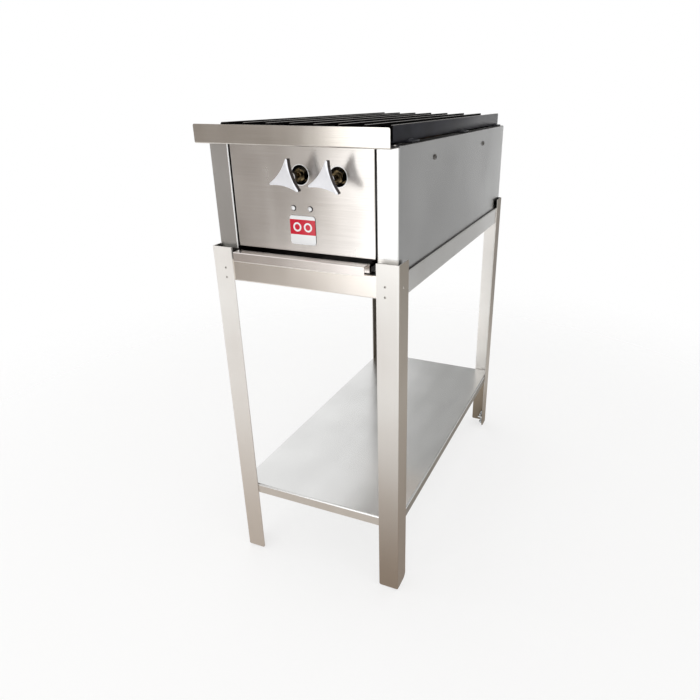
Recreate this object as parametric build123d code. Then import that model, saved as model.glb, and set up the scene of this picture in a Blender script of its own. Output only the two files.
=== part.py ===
from build123d import *
import os
from math import cos, radians, sin

# Two burner gas stove on a shelf stand, in millimetres.
# +X is the cook's right, the front faces -Y, +Z is up, and the floor is at Z = 0.

# How far a cut, or a joined shape, runs past the face where it starts
overlap = 1.0

# Stand
stand_width = 365.0
stand_depth = 742.0
leg_rise = 21.0
leg_front_flange = 41.0
leg_side_flange = 43.0
leg_sheet = 2.0
leg_bend = 3.0
leg_side_round = 12.0
leg_front_round = 4.0
floor_gap = 5.0
rail_top_z = 671.0
rail_height = 40.0
rail_flange = 20.0
rail_foot = 12.0
rail_sheet = 1.5
rail_bend = 2.5
rail_end_gap = 1.0
shelf_top_z = 178.0
shelf_edge = 21.0
shelf_sheet = 1.2
shelf_bend = 3.5
shelf_corner = 5.0

# Levelling feet
foot_inset = 8.0
foot_head_radius = 6.5
foot_head_height = 6.0
foot_head_round = 1.0
foot_bolt_radius = 4.0
foot_bolt_top = 40.0
foot_bolt_chamfer = 0.8
foot_nut_flats = 13.0
foot_nut_height = 6.5
foot_plate_size = 18.0
foot_plate_sheet = 3.0
foot_plate_z = 22.0

# Casing
casing_side_gap = 5.5
casing_front_inset = 15.7
casing_rear_inset = 3.0
casing_height = 200.4
casing_sheet = 1.2
casing_bend = 2.0
post_width = 38.0
post_return = 9.0
rear_return = 15.0
top_flange = 20.0
bottom_flange = 22.0
sheet_gap = 0.5

# Front control panel
panel_side_gap = 2.5
panel_set_back = 1.0
panel_return = 10.0
panel_fold = 15.0
tray_slot_height = 23.0
valve_hole_radius = 15.875

# Front ledge
ledge_reach = 35.2
ledge_rise = 30.0
ledge_corner = 3.2
ledge_tongue = 16.0
ledge_bend = 2.5

# Badge plate
badge_size = 49.0
badge_corner = 5.0
badge_thickness = 1.5
badge_gap = 7.0

# Grate
bar_count = 8
bar_height = 25.4
bar_thickness = 4.8
bar_edge_inset = 18.5
bar_front_inset = 15.3
bar_rear_inset = 2.0
bar_nose = 3.0
strap_width = 38.0
strap_thickness = 3.2
strap_overhang = 12.0
strap_front_inset = 76.0
strap_rear_inset = 27.0

# Gas controls
valve_drop = 49.4
valve_spacing = 70.0
manifold_drop = 34.0
manifold_back = 30.3
manifold_radius = 10.65
manifold_bore = 8.0
manifold_right_end = 95.0
plug_flats = 19.0
plug_length = 9.0
thread_clearance = 0.05
running_clearance = 0.05
bonnet_flats = 20.0
bonnet_start = -3.0
bonnet_length = 16.3
bonnet_nose_radius = 7.5
bonnet_nose_length = 6.0
bonnet_spigot = 5.0
barrel_radius = 11.5
barrel_length = 37.0
plug_radius = 8.0
plug_gap = 1.0
cavity_length = 26.0
stem_radius = 4.0
stem_flat = 2.5
nipple_radius = 6.5
nipple_bore = 4.0
nipple_entry = 3.0
outlet_bore = 3.0
spud_flats = 16.0
spud_length = 12.0
spud_nose_radius = 7.0
spud_jet = 0.9

# Knobs
knob_reach = 31.3
knob_tip_radius = 30.0
knob_waist_radius = 12.2
knob_tip_round = 2.0
knob_first_tip = 80.0
knob_thickness = 10.0
knob_edge = 1.2
knob_hub_radius = 8.0
knob_hub_length = 10.0
knob_stem_stop = 6.0
set_screw_radius = 2.0

# Manifold clamp
clamp_bolt_drop = 54.3
clamp_bolt_spacing = 32.0
clamp_width = 52.0
clamp_sheet = 2.0
clamp_tab = 20.0
clamp_wrap = 40.0
clamp_bolt_radius = 2.4
clamp_head_radius = 5.0
clamp_head_height = 4.0

# Burners
front_burner_y = 171.3
burner_pitch = 344.0
ring_outer = 70.0
ring_inner = 40.0
ring_height = 18.0
ring_wall = 4.0
port_radius = 1.6
ports_per_circle = 18
port_circles = (48.5, 61.5)
tube_radius = 15.0
tube_bore = 12.0
boss_radius = 16.0
boss_bore = 11.0
boss_drop = 17.0
boss_circle = 60.0
mouth_back = 72.3
mouth_radius = 24.0
mouth_wall = 4.0
mouth_length = 16.0
mouth_rim = 2.5
hub_radius = 9.0
hub_length = 4.0
spud_clearance = 0.6
spud_entry = 6.0
air_hole_radius = 5.5
air_hole_circle = 15.5
air_hole_angles = (210.0, 330.0)

# Air shutters
shutter_radius = 23.0
shutter_sheet = 1.5
shutter_gap = 0.25
shutter_travel = 45.0
shutter_screw_circle = 18.8
shutter_screw_radius = 1.5
shutter_slot_clearance = 0.3
shutter_head_radius = 3.5
shutter_head_height = 2.2

# Burner supports
support_width = 50.0
support_sheet = 3.0
support_tab = 22.0
support_bend = 4.0
support_screw_drop = 29.4
support_screw_below_top = 8.8
support_notch_clearance = 2.5
screw_radius = 2.5
screw_clearance = 0.15
screw_head_radius = 5.0
screw_head_height = 3.0
screw_head_round = 1.5
screw_tail = 7.0
nut_flats = 8.0
nut_height = 4.0

# Inlet pipe and fitting
inlet_from_wall = 33.8
elbow_radius = 15.0
elbow_bend = 20.0
elbow_reach = 25.0
elbow_socket = 12.0
inlet_reach = 18.0
inlet_thread_radius = 10.5
inlet_thread_length = 16.0
inlet_hex_flats = 27.0
inlet_hex_length = 6.0
inlet_hole_clearance = 0.8
pipe_grip = 10.0

# Drip tray and its runners
tray_leg_gap = 14.3
tray_pan_inset = 2.2
tray_sheet = 1.0
tray_bend = 2.0
tray_lip_reach = 14.6
tray_lip_depth = 21.9
tray_top = 17.5
tray_lip_bottom = 1.0
tray_rear_gap = 10.0
tray_lift = 0.3
runner_width = 20.0
runner_sheet = 1.5
runner_guide = 12.0
runner_side_gap = 1.0
runner_end_gap = 4.0
runner_cover_gap = 2.0

# Rivets and casing screws
rivet_radius = 1.2
rivet_clearance = 0.1
rivet_head_radius = 2.4
rivet_head_height = 0.9
rivet_tail_radius = 1.9
rivet_tail_length = 2.4
stand_rivet_inset = 25.0
stand_rivet_pitch = 18.0
stand_rivet_drop = 6.0
side_rivet_inset = 20.0
ledge_rivet_inset = 10.0
ledge_rivet_back = 8.0
panel_rivet_spacing = 90.0
back_rivet_edge = 8.0
back_rivet_drop = 40.0
casing_screw_inset = 13.5
casing_screw_from_end = 150.0

# Places worked out from the driving dimensions
half_width = stand_width / 2
front_y = knob_reach - (knob_reach + stand_depth + inlet_reach) / 2
rear_y = front_y + stand_depth
rail_mid_z = rail_top_z - rail_height / 2
leg_inner = half_width - leg_sheet
leg_top_z = rail_top_z + leg_rise

casing_half = leg_inner - casing_side_gap
wall_inner = casing_half - casing_sheet
inner_bend = casing_bend - casing_sheet
casing_front = front_y + casing_front_inset
casing_rear = rear_y - casing_rear_inset
casing_top = rail_top_z + casing_height
ledge_under = casing_top - 2 * casing_sheet
ledge_floor = ledge_under + casing_sheet

panel_half = casing_half - post_width - panel_side_gap
panel_front = casing_front + panel_set_back
panel_back = panel_front + casing_sheet
panel_bottom = rail_top_z + tray_slot_height

valve_z = casing_top - valve_drop
front_valve_x = 0.0
rear_valve_x = front_valve_x + valve_spacing
valve_xs = {"front": front_valve_x, "rear": rear_valve_x}
manifold_y = casing_front + manifold_back
manifold_z = valve_z - manifold_drop
bonnet_front = casing_front + bonnet_start
barrel_front = bonnet_front + bonnet_length
barrel_rear = barrel_front + barrel_length
knob_front = front_y - knob_reach
knob_back = knob_front + knob_thickness
hub_back = knob_back + knob_hub_length
stem_tip = knob_front + knob_stem_stop
clamp_bolt_z = valve_z - clamp_bolt_drop
clamp_shelf_z = manifold_z - manifold_radius

support_screw_z = casing_top - support_screw_drop
support_top = support_screw_z + support_screw_below_top
burner_ys = {"front": casing_front + front_burner_y, "rear": casing_front + front_burner_y + burner_pitch}
boss_places = {
    "front": (front_valve_x, burner_ys["front"] - boss_circle),
    "rear": (boss_circle, burner_ys["rear"]),
}
mouth_y = casing_front + mouth_back
inlet_x = -(wall_inner - inlet_from_wall)

strap_bottom = casing_top
bar_bottom = strap_bottom + strap_thickness
bar_front = casing_front + bar_front_inset
bar_rear = casing_rear - bar_rear_inset
outer_bar_x = casing_half - bar_edge_inset

runner_top = rail_top_z + runner_sheet
tray_bottom = runner_top + tray_lift
tray_lip_half = half_width - leg_front_flange - tray_leg_gap
tray_half = tray_lip_half - tray_pan_inset
tray_lip_front = front_y - tray_lip_reach
tray_front = tray_lip_front + tray_lip_depth
tray_rear = casing_rear - tray_rear_gap
tray_top_z = rail_top_z + tray_top
tray_floor = tray_bottom + tray_sheet


# Simple shapes that the pieces share

def slab(x_limits, y_limits, z_limits):
    """A block given by its two limits along each axis."""
    sizes = [high - low for low, high in (x_limits, y_limits, z_limits)]
    middle = [(low + high) / 2 for low, high in (x_limits, y_limits, z_limits)]
    return Pos(*middle) * Box(*sizes)


def lengthwise(axis, across, limits):
    """The start of a bar along one axis, and its length; across gives its other two coordinates."""
    origin = list(across)
    origin.insert("XYZ".index(axis), limits[0])
    direction = [0, 0, 0]
    direction["XYZ".index(axis)] = limits[1] - limits[0]
    return Plane(origin=tuple(origin), z_dir=tuple(direction)), abs(limits[1] - limits[0])


def rod(radius, axis, across, limits):
    """A round bar along one axis."""
    place, length = lengthwise(axis, across, limits)
    return place * Cylinder(radius, length, align=(Align.CENTER, Align.CENTER, Align.MIN))


def hole(radius, axis, across, limits):
    """A round bar that cuts right through what lies between two limits."""
    low, high = sorted(limits)
    return rod(radius, axis, across, (low - overlap, high + overlap))


def cone(start_radius, end_radius, axis, across, limits):
    """A tapered round bar along one axis."""
    place, length = lengthwise(axis, across, limits)
    return place * Cone(start_radius, end_radius, length, align=(Align.CENTER, Align.CENTER, Align.MIN))


def hexagon(flats, axis, across, limits):
    """A six-sided bar along one axis."""
    place, length = lengthwise(axis, across, limits)
    return extrude(place * RegularPolygon(flats / 2, 6, major_radius=False), length)


def bent_profile(points, outer_bends, inner_bends, outer_radius, inner_radius):
    """A folded sheet's section, with its listed corners rounded as a brake leaves them."""
    area = sum(a[0] * b[1] - b[0] * a[1] for a, b in zip(points, points[1:] + points[:1]))
    face = Polygon(*(points if area > 0 else points[::-1]), align=None)
    for bends, radius in ((outer_bends, outer_radius), (inner_bends, inner_radius)):
        for bend in bends:
            corner = face.vertices().sort_by_distance((*points[bend], 0))[0]
            face = fillet(corner, radius)
    return face


def facing(point, outward):
    """A place whose own +Z points along outward."""
    return Plane(origin=point, z_dir=outward)


def dome(radius, height):
    """A low round head that stands on its own XY plane."""
    outline = [
        Line((0, 0), (radius, 0)),
        RadiusArc((radius, 0), (0, height), -(radius**2 + height**2) / (2 * height)),
        Line((0, height), (0, 0)),
    ]
    return revolve(Plane.XZ * make_face(outline), Axis.Z)


def rivet(point, outward, grip):
    """A blind rivet: dome head outside, shank through the sheets, swollen tail inside."""
    head = dome(rivet_head_radius, rivet_head_height)
    shank = rod(rivet_radius, "Z", (0, 0), (rivet_head_height / 2, -grip - rivet_tail_length))
    tail = rod(rivet_tail_radius, "Z", (0, 0), (-grip - rivet_tail_length, -grip))
    return facing(point, outward) * (head + shank + tail)


def rivet_hole(point, outward, grip):
    """The clearance hole through the sheets that one rivet joins."""
    return facing(point, outward) * hole(rivet_radius + rivet_clearance, "Z", (0, 0), (-grip, 0))


def group(solids):
    """Like pieces that stay separate solids in one node."""
    return Compound(children=list(solids))


# Stand: where its rivets go

def stand_rivets_at(side, face):
    """Points and outward directions of the rivets in one leg."""
    corner_y = front_y if face < 0 else rear_y
    places = []
    for step in (-0.5, 0.5):
        rivet_z = rail_mid_z - stand_rivet_drop + step * stand_rivet_pitch
        point = (side * (half_width - stand_rivet_inset), corner_y, rivet_z)
        places.append((point, (0, face, 0)))
    side_point = (side * half_width, corner_y - face * side_rivet_inset, rail_mid_z)
    places.append((side_point, (side, 0, 0)))
    return places


corners = {
    "front_left": (-1, -1),
    "front_right": (1, -1),
    "rear_left": (-1, 1),
    "rear_right": (1, 1),
}
stand_rivet_places = [place for corner in corners.values() for place in stand_rivets_at(*corner)]
stand_grip = leg_sheet + rail_sheet


def drill_stand(piece):
    """The piece with the stand's rivet holes cut where they pass through it."""
    for point, outward in stand_rivet_places:
        piece -= rivet_hole(point, outward, stand_grip)
    return piece


# Stand: pieces

def leg(side, face):
    """One folded angle leg, its outer corner at the corner of the stand, its flanges rounded off at the foot."""
    corner_y = front_y if face < 0 else rear_y
    inward = [
        (0, 0),
        (leg_front_flange, 0),
        (leg_front_flange, leg_sheet),
        (leg_sheet, leg_sheet),
        (leg_sheet, leg_side_flange),
        (0, leg_side_flange),
    ]
    points = [(side * (half_width - across), corner_y - face * along) for across, along in inward]
    section = bent_profile(points, [0], [3], leg_bend, leg_bend - leg_sheet)
    angle = Pos(0, 0, floor_gap) * extrude(section, leg_top_z - floor_gap)
    side_corner = (side * (half_width - leg_sheet / 2), corner_y - face * leg_side_flange, floor_gap)
    front_corner = (side * (half_width - leg_front_flange), corner_y - face * leg_sheet / 2, floor_gap)
    for corner, radius in ((side_corner, leg_side_round), (front_corner, leg_front_round)):
        angle = fillet(angle.edges().sort_by_distance(corner)[0], radius)
    return drill_stand(angle)


def rail(length, flange_length):
    """A folded channel along X: its web faces -Y, its flanges point to +Y and stop short of its ends."""
    points = [
        (0, 0),
        (rail_foot, 0),
        (rail_foot, rail_sheet),
        (rail_sheet, rail_sheet),
        (rail_sheet, rail_height - rail_sheet),
        (rail_flange, rail_height - rail_sheet),
        (rail_flange, rail_height),
        (0, rail_height),
    ]
    section = bent_profile(points, [0, 7], [3, 4], rail_bend, rail_bend - rail_sheet)
    channel = extrude(Plane.YZ * section, flange_length / 2, both=True)
    web = slab((-length / 2, length / 2), (0, rail_sheet), (rail_bend, rail_height - rail_bend))
    return channel + web


def cross_rail(face):
    """The front or rear rail, tucked behind the leg flanges."""
    y = front_y + leg_sheet if face < 0 else rear_y - leg_sheet
    length = 2 * (leg_inner - rail_sheet - rail_end_gap)
    flange_length = 2 * (leg_inner - rail_flange - rail_end_gap)
    turn = 0 if face < 0 else 180
    placed = Pos(0, y, rail_top_z - rail_height) * Rot(0, 0, turn) * rail(length, flange_length)
    return drill_stand(placed)


def side_rail(side):
    """The left or right rail, which carries the casing on its top flange."""
    length = stand_depth - 2 * (leg_sheet + rail_sheet + rail_end_gap)
    middle_y = (front_y + rear_y) / 2
    turned = Rot(0, 0, side * 90) * rail(length, length)
    placed = Pos(side * leg_inner, middle_y, rail_top_z - rail_height) * turned
    return drill_casing_screws(drill_stand(placed))


def lower_shelf():
    """The shelf pan: a flat top with four turned-down edges, let in between the legs."""
    x_limits = (-leg_inner, leg_inner)
    y_limits = (front_y + leg_sheet, rear_y - leg_sheet)
    block = slab(x_limits, y_limits, (shelf_top_z - shelf_edge, shelf_top_z))
    block = fillet(block.edges().filter_by(Axis.Z), shelf_corner)
    block = fillet(block.faces().sort_by(Axis.Z)[-1].edges(), shelf_bend)
    hollow = slab(
        (-leg_inner + shelf_sheet, leg_inner - shelf_sheet),
        (front_y + leg_sheet + shelf_sheet, rear_y - leg_sheet - shelf_sheet),
        (shelf_top_z - shelf_edge - overlap, shelf_top_z - shelf_sheet),
    )
    hollow = fillet(hollow.edges().filter_by(Axis.Z), shelf_corner - shelf_sheet)
    return block - fillet(hollow.faces().sort_by(Axis.Z)[-1].edges(), shelf_bend - shelf_sheet)


def foot_centre(side, face):
    """Where a levelling bolt stands, inside the corner of its leg."""
    corner_y = front_y if face < 0 else rear_y
    return side * (leg_inner - foot_inset), corner_y - face * (leg_sheet + foot_inset)


def foot_bracket(side, face):
    """The small plate welded into a leg's corner, with a hole for the levelling bolt."""
    x, y = foot_centre(side, face)
    inner_x = side * leg_inner
    inner_y = y + face * foot_inset
    x_limits = sorted((inner_x, inner_x - side * foot_plate_size))
    y_limits = sorted((inner_y, inner_y - face * foot_plate_size))
    plate = slab(x_limits, y_limits, (foot_plate_z, foot_plate_z + foot_plate_sheet))
    plate = fillet(plate.edges().filter_by(Axis.Z), leg_bend)
    hole_radius = foot_bolt_radius + running_clearance
    return plate - hole(hole_radius, "Z", (x, y), (foot_plate_z, foot_plate_z + foot_plate_sheet))


def foot_nut(side, face):
    """The nut welded on top of a foot bracket."""
    x, y = foot_centre(side, face)
    base = foot_plate_z + foot_plate_sheet
    nut = hexagon(foot_nut_flats, "Z", (x, y), (base, base + foot_nut_height))
    return nut - hole(foot_bolt_radius + running_clearance, "Z", (x, y), (base, base + foot_nut_height))


def levelling_foot(side, face):
    """A levelling bolt: round head on the floor, shank up through the bracket and nut."""
    x, y = foot_centre(side, face)
    head = rod(foot_head_radius, "Z", (x, y), (0, foot_head_height))
    head = fillet(head.edges(), foot_head_round)
    shank = rod(foot_bolt_radius, "Z", (x, y), (foot_head_height / 2, foot_bolt_top))
    shank = chamfer(shank.edges().sort_by(Axis.Z)[-1], foot_bolt_chamfer)
    return head + shank


# Casing: where its screws and rivets go

casing_screw_places = [
    (side * (casing_half - casing_screw_inset), end)
    for side in (-1, 1)
    for end in (front_y + casing_screw_from_end, rear_y - casing_screw_from_end)
]


def drill_casing_screws(piece):
    """The piece with the holes of the screws that hold the casing on the side rails."""
    for x, y in casing_screw_places:
        limits = (rail_top_z - rail_sheet, rail_top_z + casing_sheet)
        piece -= hole(screw_radius + screw_clearance, "Z", (x, y), limits)
    return piece


def casing_rivet_places():
    """Point, outward direction and grip of each rivet that joins two sheets of the casing."""
    places = []
    grip = 2 * casing_sheet
    for side in (-1, 1):
        ledge_point = (side * (casing_half - ledge_rivet_inset), casing_front + ledge_rivet_back, casing_top)
        places.append((ledge_point, (0, 0, 1), grip))
        for z in (rail_top_z + back_rivet_drop, casing_top - back_rivet_drop):
            back_point = (side * (casing_half - back_rivet_edge), casing_rear, z)
            places.append((back_point, (0, 1, 0), grip))
    for step in (-1, 0, 1):
        panel_point = (step * panel_rivet_spacing, casing_front + ledge_rivet_back, ledge_floor)
        places.append((panel_point, (0, 0, 1), grip))
    return places


def drill_casing(piece):
    """The piece with the casing's rivet holes cut where they pass through it."""
    for point, outward, grip in casing_rivet_places():
        piece -= rivet_hole(point, outward, grip)
    return piece


# Casing: pieces

def side_panel(side):
    """A side wall folded round the front as a post, with returns at the rear, top and bottom."""
    wall, inner = casing_half, wall_inner
    post = casing_half - post_width
    outline = [
        (post, casing_front + post_return),
        (post, casing_front),
        (wall, casing_front),
        (wall, casing_rear),
        (wall - rear_return, casing_rear),
        (wall - rear_return, casing_rear - casing_sheet),
        (inner, casing_rear - casing_sheet),
        (inner, casing_front + casing_sheet),
        (post + casing_sheet, casing_front + casing_sheet),
        (post + casing_sheet, casing_front + post_return),
    ]
    outline = [(side * x, y) for x, y in outline]
    section = bent_profile(outline, [1, 2, 3], [6, 7, 8], casing_bend, inner_bend)
    panel = Pos(0, 0, rail_top_z) * extrude(section, ledge_under - rail_top_z)

    # The top fold starts just behind the post, so that the ledge can pass in front of it.
    top_outline = [
        (wall, ledge_under),
        (wall, casing_top),
        (wall - top_flange, casing_top),
        (wall - top_flange, casing_top - casing_sheet),
        (inner, casing_top - casing_sheet),
        (inner, ledge_under),
    ]
    top_outline = [(side * x, z) for x, z in top_outline]
    top_section = bent_profile(top_outline, [1], [4], casing_bend, inner_bend)
    fold_front = casing_front + casing_bend
    fold_rear = casing_rear - casing_bend
    top_plane = Plane(origin=(0, fold_rear, 0), x_dir=(1, 0, 0), z_dir=(0, -1, 0))
    panel += extrude(top_plane * top_section, fold_rear - fold_front)

    foot_limits = sorted((side * (wall - bottom_flange), side * wall))
    panel += slab(foot_limits, (fold_front, fold_rear), (rail_top_z, rail_top_z + casing_sheet))
    for y in burner_ys.values():
        panel -= hole(screw_radius + screw_clearance, "X", (y, support_screw_z), (side * inner, side * wall))
    return drill_casing_screws(drill_casing(panel))


def front_panel():
    """The control panel, hung from the ledge between the posts, with round holes for the valves."""
    outline = [
        (-panel_half, panel_front),
        (panel_half, panel_front),
        (panel_half, panel_front + panel_return),
        (panel_half - casing_sheet, panel_front + panel_return),
        (panel_half - casing_sheet, panel_back),
        (-panel_half + casing_sheet, panel_back),
        (-panel_half + casing_sheet, panel_front + panel_return),
        (-panel_half, panel_front + panel_return),
    ]
    section = bent_profile(outline, [0, 1], [4, 5], casing_bend, inner_bend)
    panel = Pos(0, 0, panel_bottom) * extrude(section, ledge_under - panel_bottom)
    inside = (-panel_half + casing_sheet, panel_half - casing_sheet)
    fold = (panel_back, panel_front + panel_fold)
    panel += slab(inside, fold, (ledge_under - casing_sheet, ledge_under))
    panel += slab(inside, fold, (panel_bottom, panel_bottom + casing_sheet))
    for x in valve_xs.values():
        panel -= hole(valve_hole_radius, "Y", (x, valve_z), (panel_front, panel_back))
    return drill_casing(drill_clamp(panel))


def back_panel():
    """The plain rear sheet, riveted inside the side panels' rear returns."""
    half = wall_inner - inner_bend
    y_limits = (casing_rear - 2 * casing_sheet, casing_rear - casing_sheet)
    top = casing_top - casing_sheet - sheet_gap
    sheet = slab((-half, half), y_limits, (rail_top_z + casing_sheet + sheet_gap, top))
    fold = slab((-half, half), (y_limits[0] - panel_return, y_limits[1]), (top - casing_sheet, top))
    hole_radius = manifold_radius + inlet_hole_clearance
    return drill_casing(sheet + fold - hole(hole_radius, "Y", (inlet_x, manifold_z), y_limits))


def front_ledge():
    """The shelf along the top front: a floor that rests on the posts, and an upturned front lip."""
    ledge_front = casing_front - ledge_reach
    lip_back = ledge_front + casing_sheet
    lip_top = ledge_under + ledge_rise
    points = [
        (ledge_front, ledge_under),
        (casing_front, ledge_under),
        (casing_front, ledge_floor),
        (lip_back, ledge_floor),
        (lip_back, lip_top),
        (ledge_front, lip_top),
    ]
    section = bent_profile(points, [0], [3], ledge_bend, ledge_bend - casing_sheet)
    ledge = extrude(Plane.YZ * section, casing_half, both=True)
    lip_corners = ledge.edges().filter_by(Axis.Y).sort_by(Axis.Z)[-2:]
    ledge = fillet(lip_corners, ledge_corner)
    tongue_half = wall_inner - inner_bend
    tongue_reach = (casing_front, casing_front + ledge_tongue)
    tongue = slab((-tongue_half, tongue_half), tongue_reach, (ledge_under, ledge_floor))
    return drill_casing(ledge + tongue)


def badge_plate():
    """A bare square plate with rounded corners, stuck on the panel under the clamp bolts."""
    middle_z = clamp_bolt_z - clamp_head_radius - badge_gap - badge_size / 2
    plane = Plane(origin=(0, panel_front, middle_z), x_dir=(1, 0, 0), z_dir=(0, -1, 0))
    return extrude(plane * RectangleRounded(badge_size, badge_size, badge_corner), badge_thickness)


def casing_screws():
    """Screws up through the side rails' flanges and the casing's bottom flanges."""
    seat = rail_top_z - rail_sheet
    screws = []
    for x, y in casing_screw_places:
        head = hexagon(nut_flats, "Z", (x, y), (seat - screw_head_height, seat))
        top = rail_top_z + casing_sheet + nut_height + screw_radius
        screws.append(head + rod(screw_radius, "Z", (x, y), (seat - screw_head_height / 2, top)))
    return group(screws)


def casing_nuts():
    """The nuts of the casing screws, on the casing's bottom flanges."""
    base = rail_top_z + casing_sheet
    nuts = []
    for x, y in casing_screw_places:
        nut = hexagon(nut_flats, "Z", (x, y), (base, base + nut_height))
        nuts.append(nut - hole(screw_radius + thread_clearance, "Z", (x, y), (base, base + nut_height)))
    return group(nuts)


# Burners and what carries them

def burner_support(name):
    """A cross plate with a turned-down tab at each end, screwed to both side walls."""
    y = burner_ys[name]
    tab_bottom = support_top - support_tab
    points = [
        (-wall_inner, tab_bottom),
        (-wall_inner, support_top),
        (wall_inner, support_top),
        (wall_inner, tab_bottom),
        (wall_inner - support_sheet, tab_bottom),
        (wall_inner - support_sheet, support_top - support_sheet),
        (-wall_inner + support_sheet, support_top - support_sheet),
        (-wall_inner + support_sheet, tab_bottom),
    ]
    section = bent_profile(points, [1, 2], [5, 6], support_bend, support_bend - support_sheet)
    plane = Plane(origin=(0, y + support_width / 2, 0), x_dir=(1, 0, 0), z_dir=(0, -1, 0))
    support = extrude(plane * section, support_width)
    if name == "rear":
        # The rear burner's boss drops through a notch that is open to the front.
        boss_x, _ = boss_places[name]
        notch = boss_radius + support_notch_clearance
        z_limits = (support_top - support_sheet - overlap, support_top + overlap)
        support -= slab((boss_x - notch, boss_x + notch), (y - support_width / 2 - overlap, y), z_limits)
        support -= rod(notch, "Z", (boss_x, y), z_limits)
    hole_radius = screw_radius + screw_clearance
    return support - hole(hole_radius, "X", (y, support_screw_z), (-wall_inner, wall_inner))


support_screw_places = [(side, y) for side in (-1, 1) for y in burner_ys.values()]


def support_screws():
    """Pan-headed screws through the side walls into the burner supports."""
    screws = []
    for side, y in support_screw_places:
        head = rod(screw_head_radius, "Z", (0, 0), (0, screw_head_height))
        head = fillet(head.edges().sort_by(Axis.Z)[-1], screw_head_round)
        shank = rod(screw_radius, "Z", (0, 0), (screw_head_height / 2, -support_sheet - screw_tail))
        screws.append(facing((side * casing_half, y, support_screw_z), (side, 0, 0)) * (head + shank))
    return group(screws)


def support_nuts():
    """The nuts of the support screws, inside the supports' tabs."""
    seat = wall_inner - support_sheet
    nuts = []
    for side, y in support_screw_places:
        limits = (side * seat, side * (seat - nut_height))
        nut = hexagon(nut_flats, "X", (y, support_screw_z), limits)
        nuts.append(nut - hole(screw_radius + thread_clearance, "X", (y, support_screw_z), limits))
    return group(nuts)


def around_mouth(x, circle, angle):
    """A point on a circle about a mixing tube's axis, as the cook sees it: 0 is right and 90 is up."""
    return x + circle * cos(radians(angle)), valve_z + circle * sin(radians(angle))


def burner(name):
    """A cast ring burner: hollow drilled ring, boss, mixing tube and flared mouth."""
    x, ring_y = valve_xs[name], burner_ys[name]
    boss_x, boss_y = boss_places[name]
    ring_top = support_top + ring_height
    flare_y = mouth_y + mouth_length

    outside = rod(ring_outer, "Z", (0, ring_y), (support_top, ring_top))
    outside -= hole(ring_inner, "Z", (0, ring_y), (support_top, ring_top))
    outside += rod(boss_radius, "Z", (boss_x, boss_y), (valve_z - boss_drop, support_top + 2 * ring_wall))
    outside += rod(tube_radius, "Y", (x, valve_z), (mouth_y + mouth_wall, boss_y))
    outside += cone(mouth_radius, tube_radius, "Y", (x, valve_z), (mouth_y + mouth_wall, flare_y))
    outside += rod(mouth_radius, "Y", (x, valve_z), (mouth_y, mouth_y + mouth_wall))
    outside += rod(hub_radius, "Y", (x, valve_z), (mouth_y - hub_length, mouth_y))

    floor, ceiling = support_top + ring_wall, ring_top - ring_wall
    inside = rod(ring_outer - ring_wall, "Z", (0, ring_y), (floor, ceiling))
    inside -= hole(ring_inner + ring_wall, "Z", (0, ring_y), (floor, ceiling))
    inside += rod(boss_bore, "Z", (boss_x, boss_y), (valve_z, floor + overlap))
    inside += rod(tube_bore, "Y", (x, valve_z), (mouth_y + mouth_wall, boss_y))
    inside += cone(mouth_radius - mouth_rim, tube_bore, "Y", (x, valve_z), (mouth_y + mouth_wall, flare_y))
    casting = outside - inside

    nose_hole = spud_nose_radius + spud_clearance
    cuts = [hole(nose_hole, "Y", (x, valve_z), (mouth_y - hub_length, mouth_y + mouth_wall))]
    holes = [(air_hole_circle, angle, air_hole_radius) for angle in air_hole_angles]
    holes.append((shutter_screw_circle, 90, shutter_screw_radius + thread_clearance))
    for circle, angle, radius in holes:
        hole_x, hole_z = around_mouth(x, circle, angle)
        cuts.append(hole(radius, "Y", (hole_x, hole_z), (mouth_y, mouth_y + mouth_wall)))
    for circle in port_circles:
        for step in range(ports_per_circle):
            turn = radians(360 * step / ports_per_circle)
            port_x, port_y = circle * cos(turn), ring_y + circle * sin(turn)
            cuts.append(hole(port_radius, "Z", (port_x, port_y), (ceiling, ring_top)))
    return casting - cuts


def air_shutter(name):
    """A turning disc on the mouth's hub, with air holes and an arc slot for its locking screw."""
    x = valve_xs[name]
    back = mouth_y - shutter_gap
    front = back - shutter_sheet
    disc = rod(shutter_radius, "Y", (x, valve_z), (front, back))
    disc -= hole(hub_radius + running_clearance, "Y", (x, valve_z), (front, back))
    for angle in air_hole_angles:
        hole_x, hole_z = around_mouth(x, air_hole_circle, angle)
        disc -= hole(air_hole_radius, "Y", (hole_x, hole_z), (front, back))
    slot_width = 2 * (shutter_screw_radius + shutter_slot_clearance)
    slot = SlotArc(CenterArc((0, 0), shutter_screw_circle, 90, shutter_travel), slot_width)
    slot_plane = Plane(origin=(x, back + overlap, valve_z), x_dir=(1, 0, 0), z_dir=(0, -1, 0))
    return disc - extrude(slot_plane * slot, shutter_sheet + 2 * overlap)


def shutter_screws():
    """The small screws that hold and lock the air shutters."""
    screws = []
    seat = mouth_y - 2 * shutter_gap - shutter_sheet
    for x in valve_xs.values():
        screw_x, screw_z = around_mouth(x, shutter_screw_circle, 90)
        head = rod(shutter_head_radius, "Y", (screw_x, screw_z), (seat - shutter_head_height, seat))
        shank_end = mouth_y + mouth_wall
        screws.append(head + rod(shutter_screw_radius, "Y", (screw_x, screw_z), (seat - overlap, shank_end)))
    return group(screws)


# Gas pipework

def gas_manifold():
    """The pipe behind the panel that feeds both valves, drilled for their nipples."""
    limits = (inlet_x + elbow_reach - elbow_socket, manifold_right_end)
    pipe = rod(manifold_radius, "X", (manifold_y, manifold_z), limits)
    pipe -= hole(manifold_bore, "X", (manifold_y, manifold_z), limits)
    for x in valve_xs.values():
        top = manifold_z + 2 * manifold_radius
        pipe -= rod(nipple_radius + thread_clearance, "Z", (x, manifold_y), (manifold_z, top))
    return pipe


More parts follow.
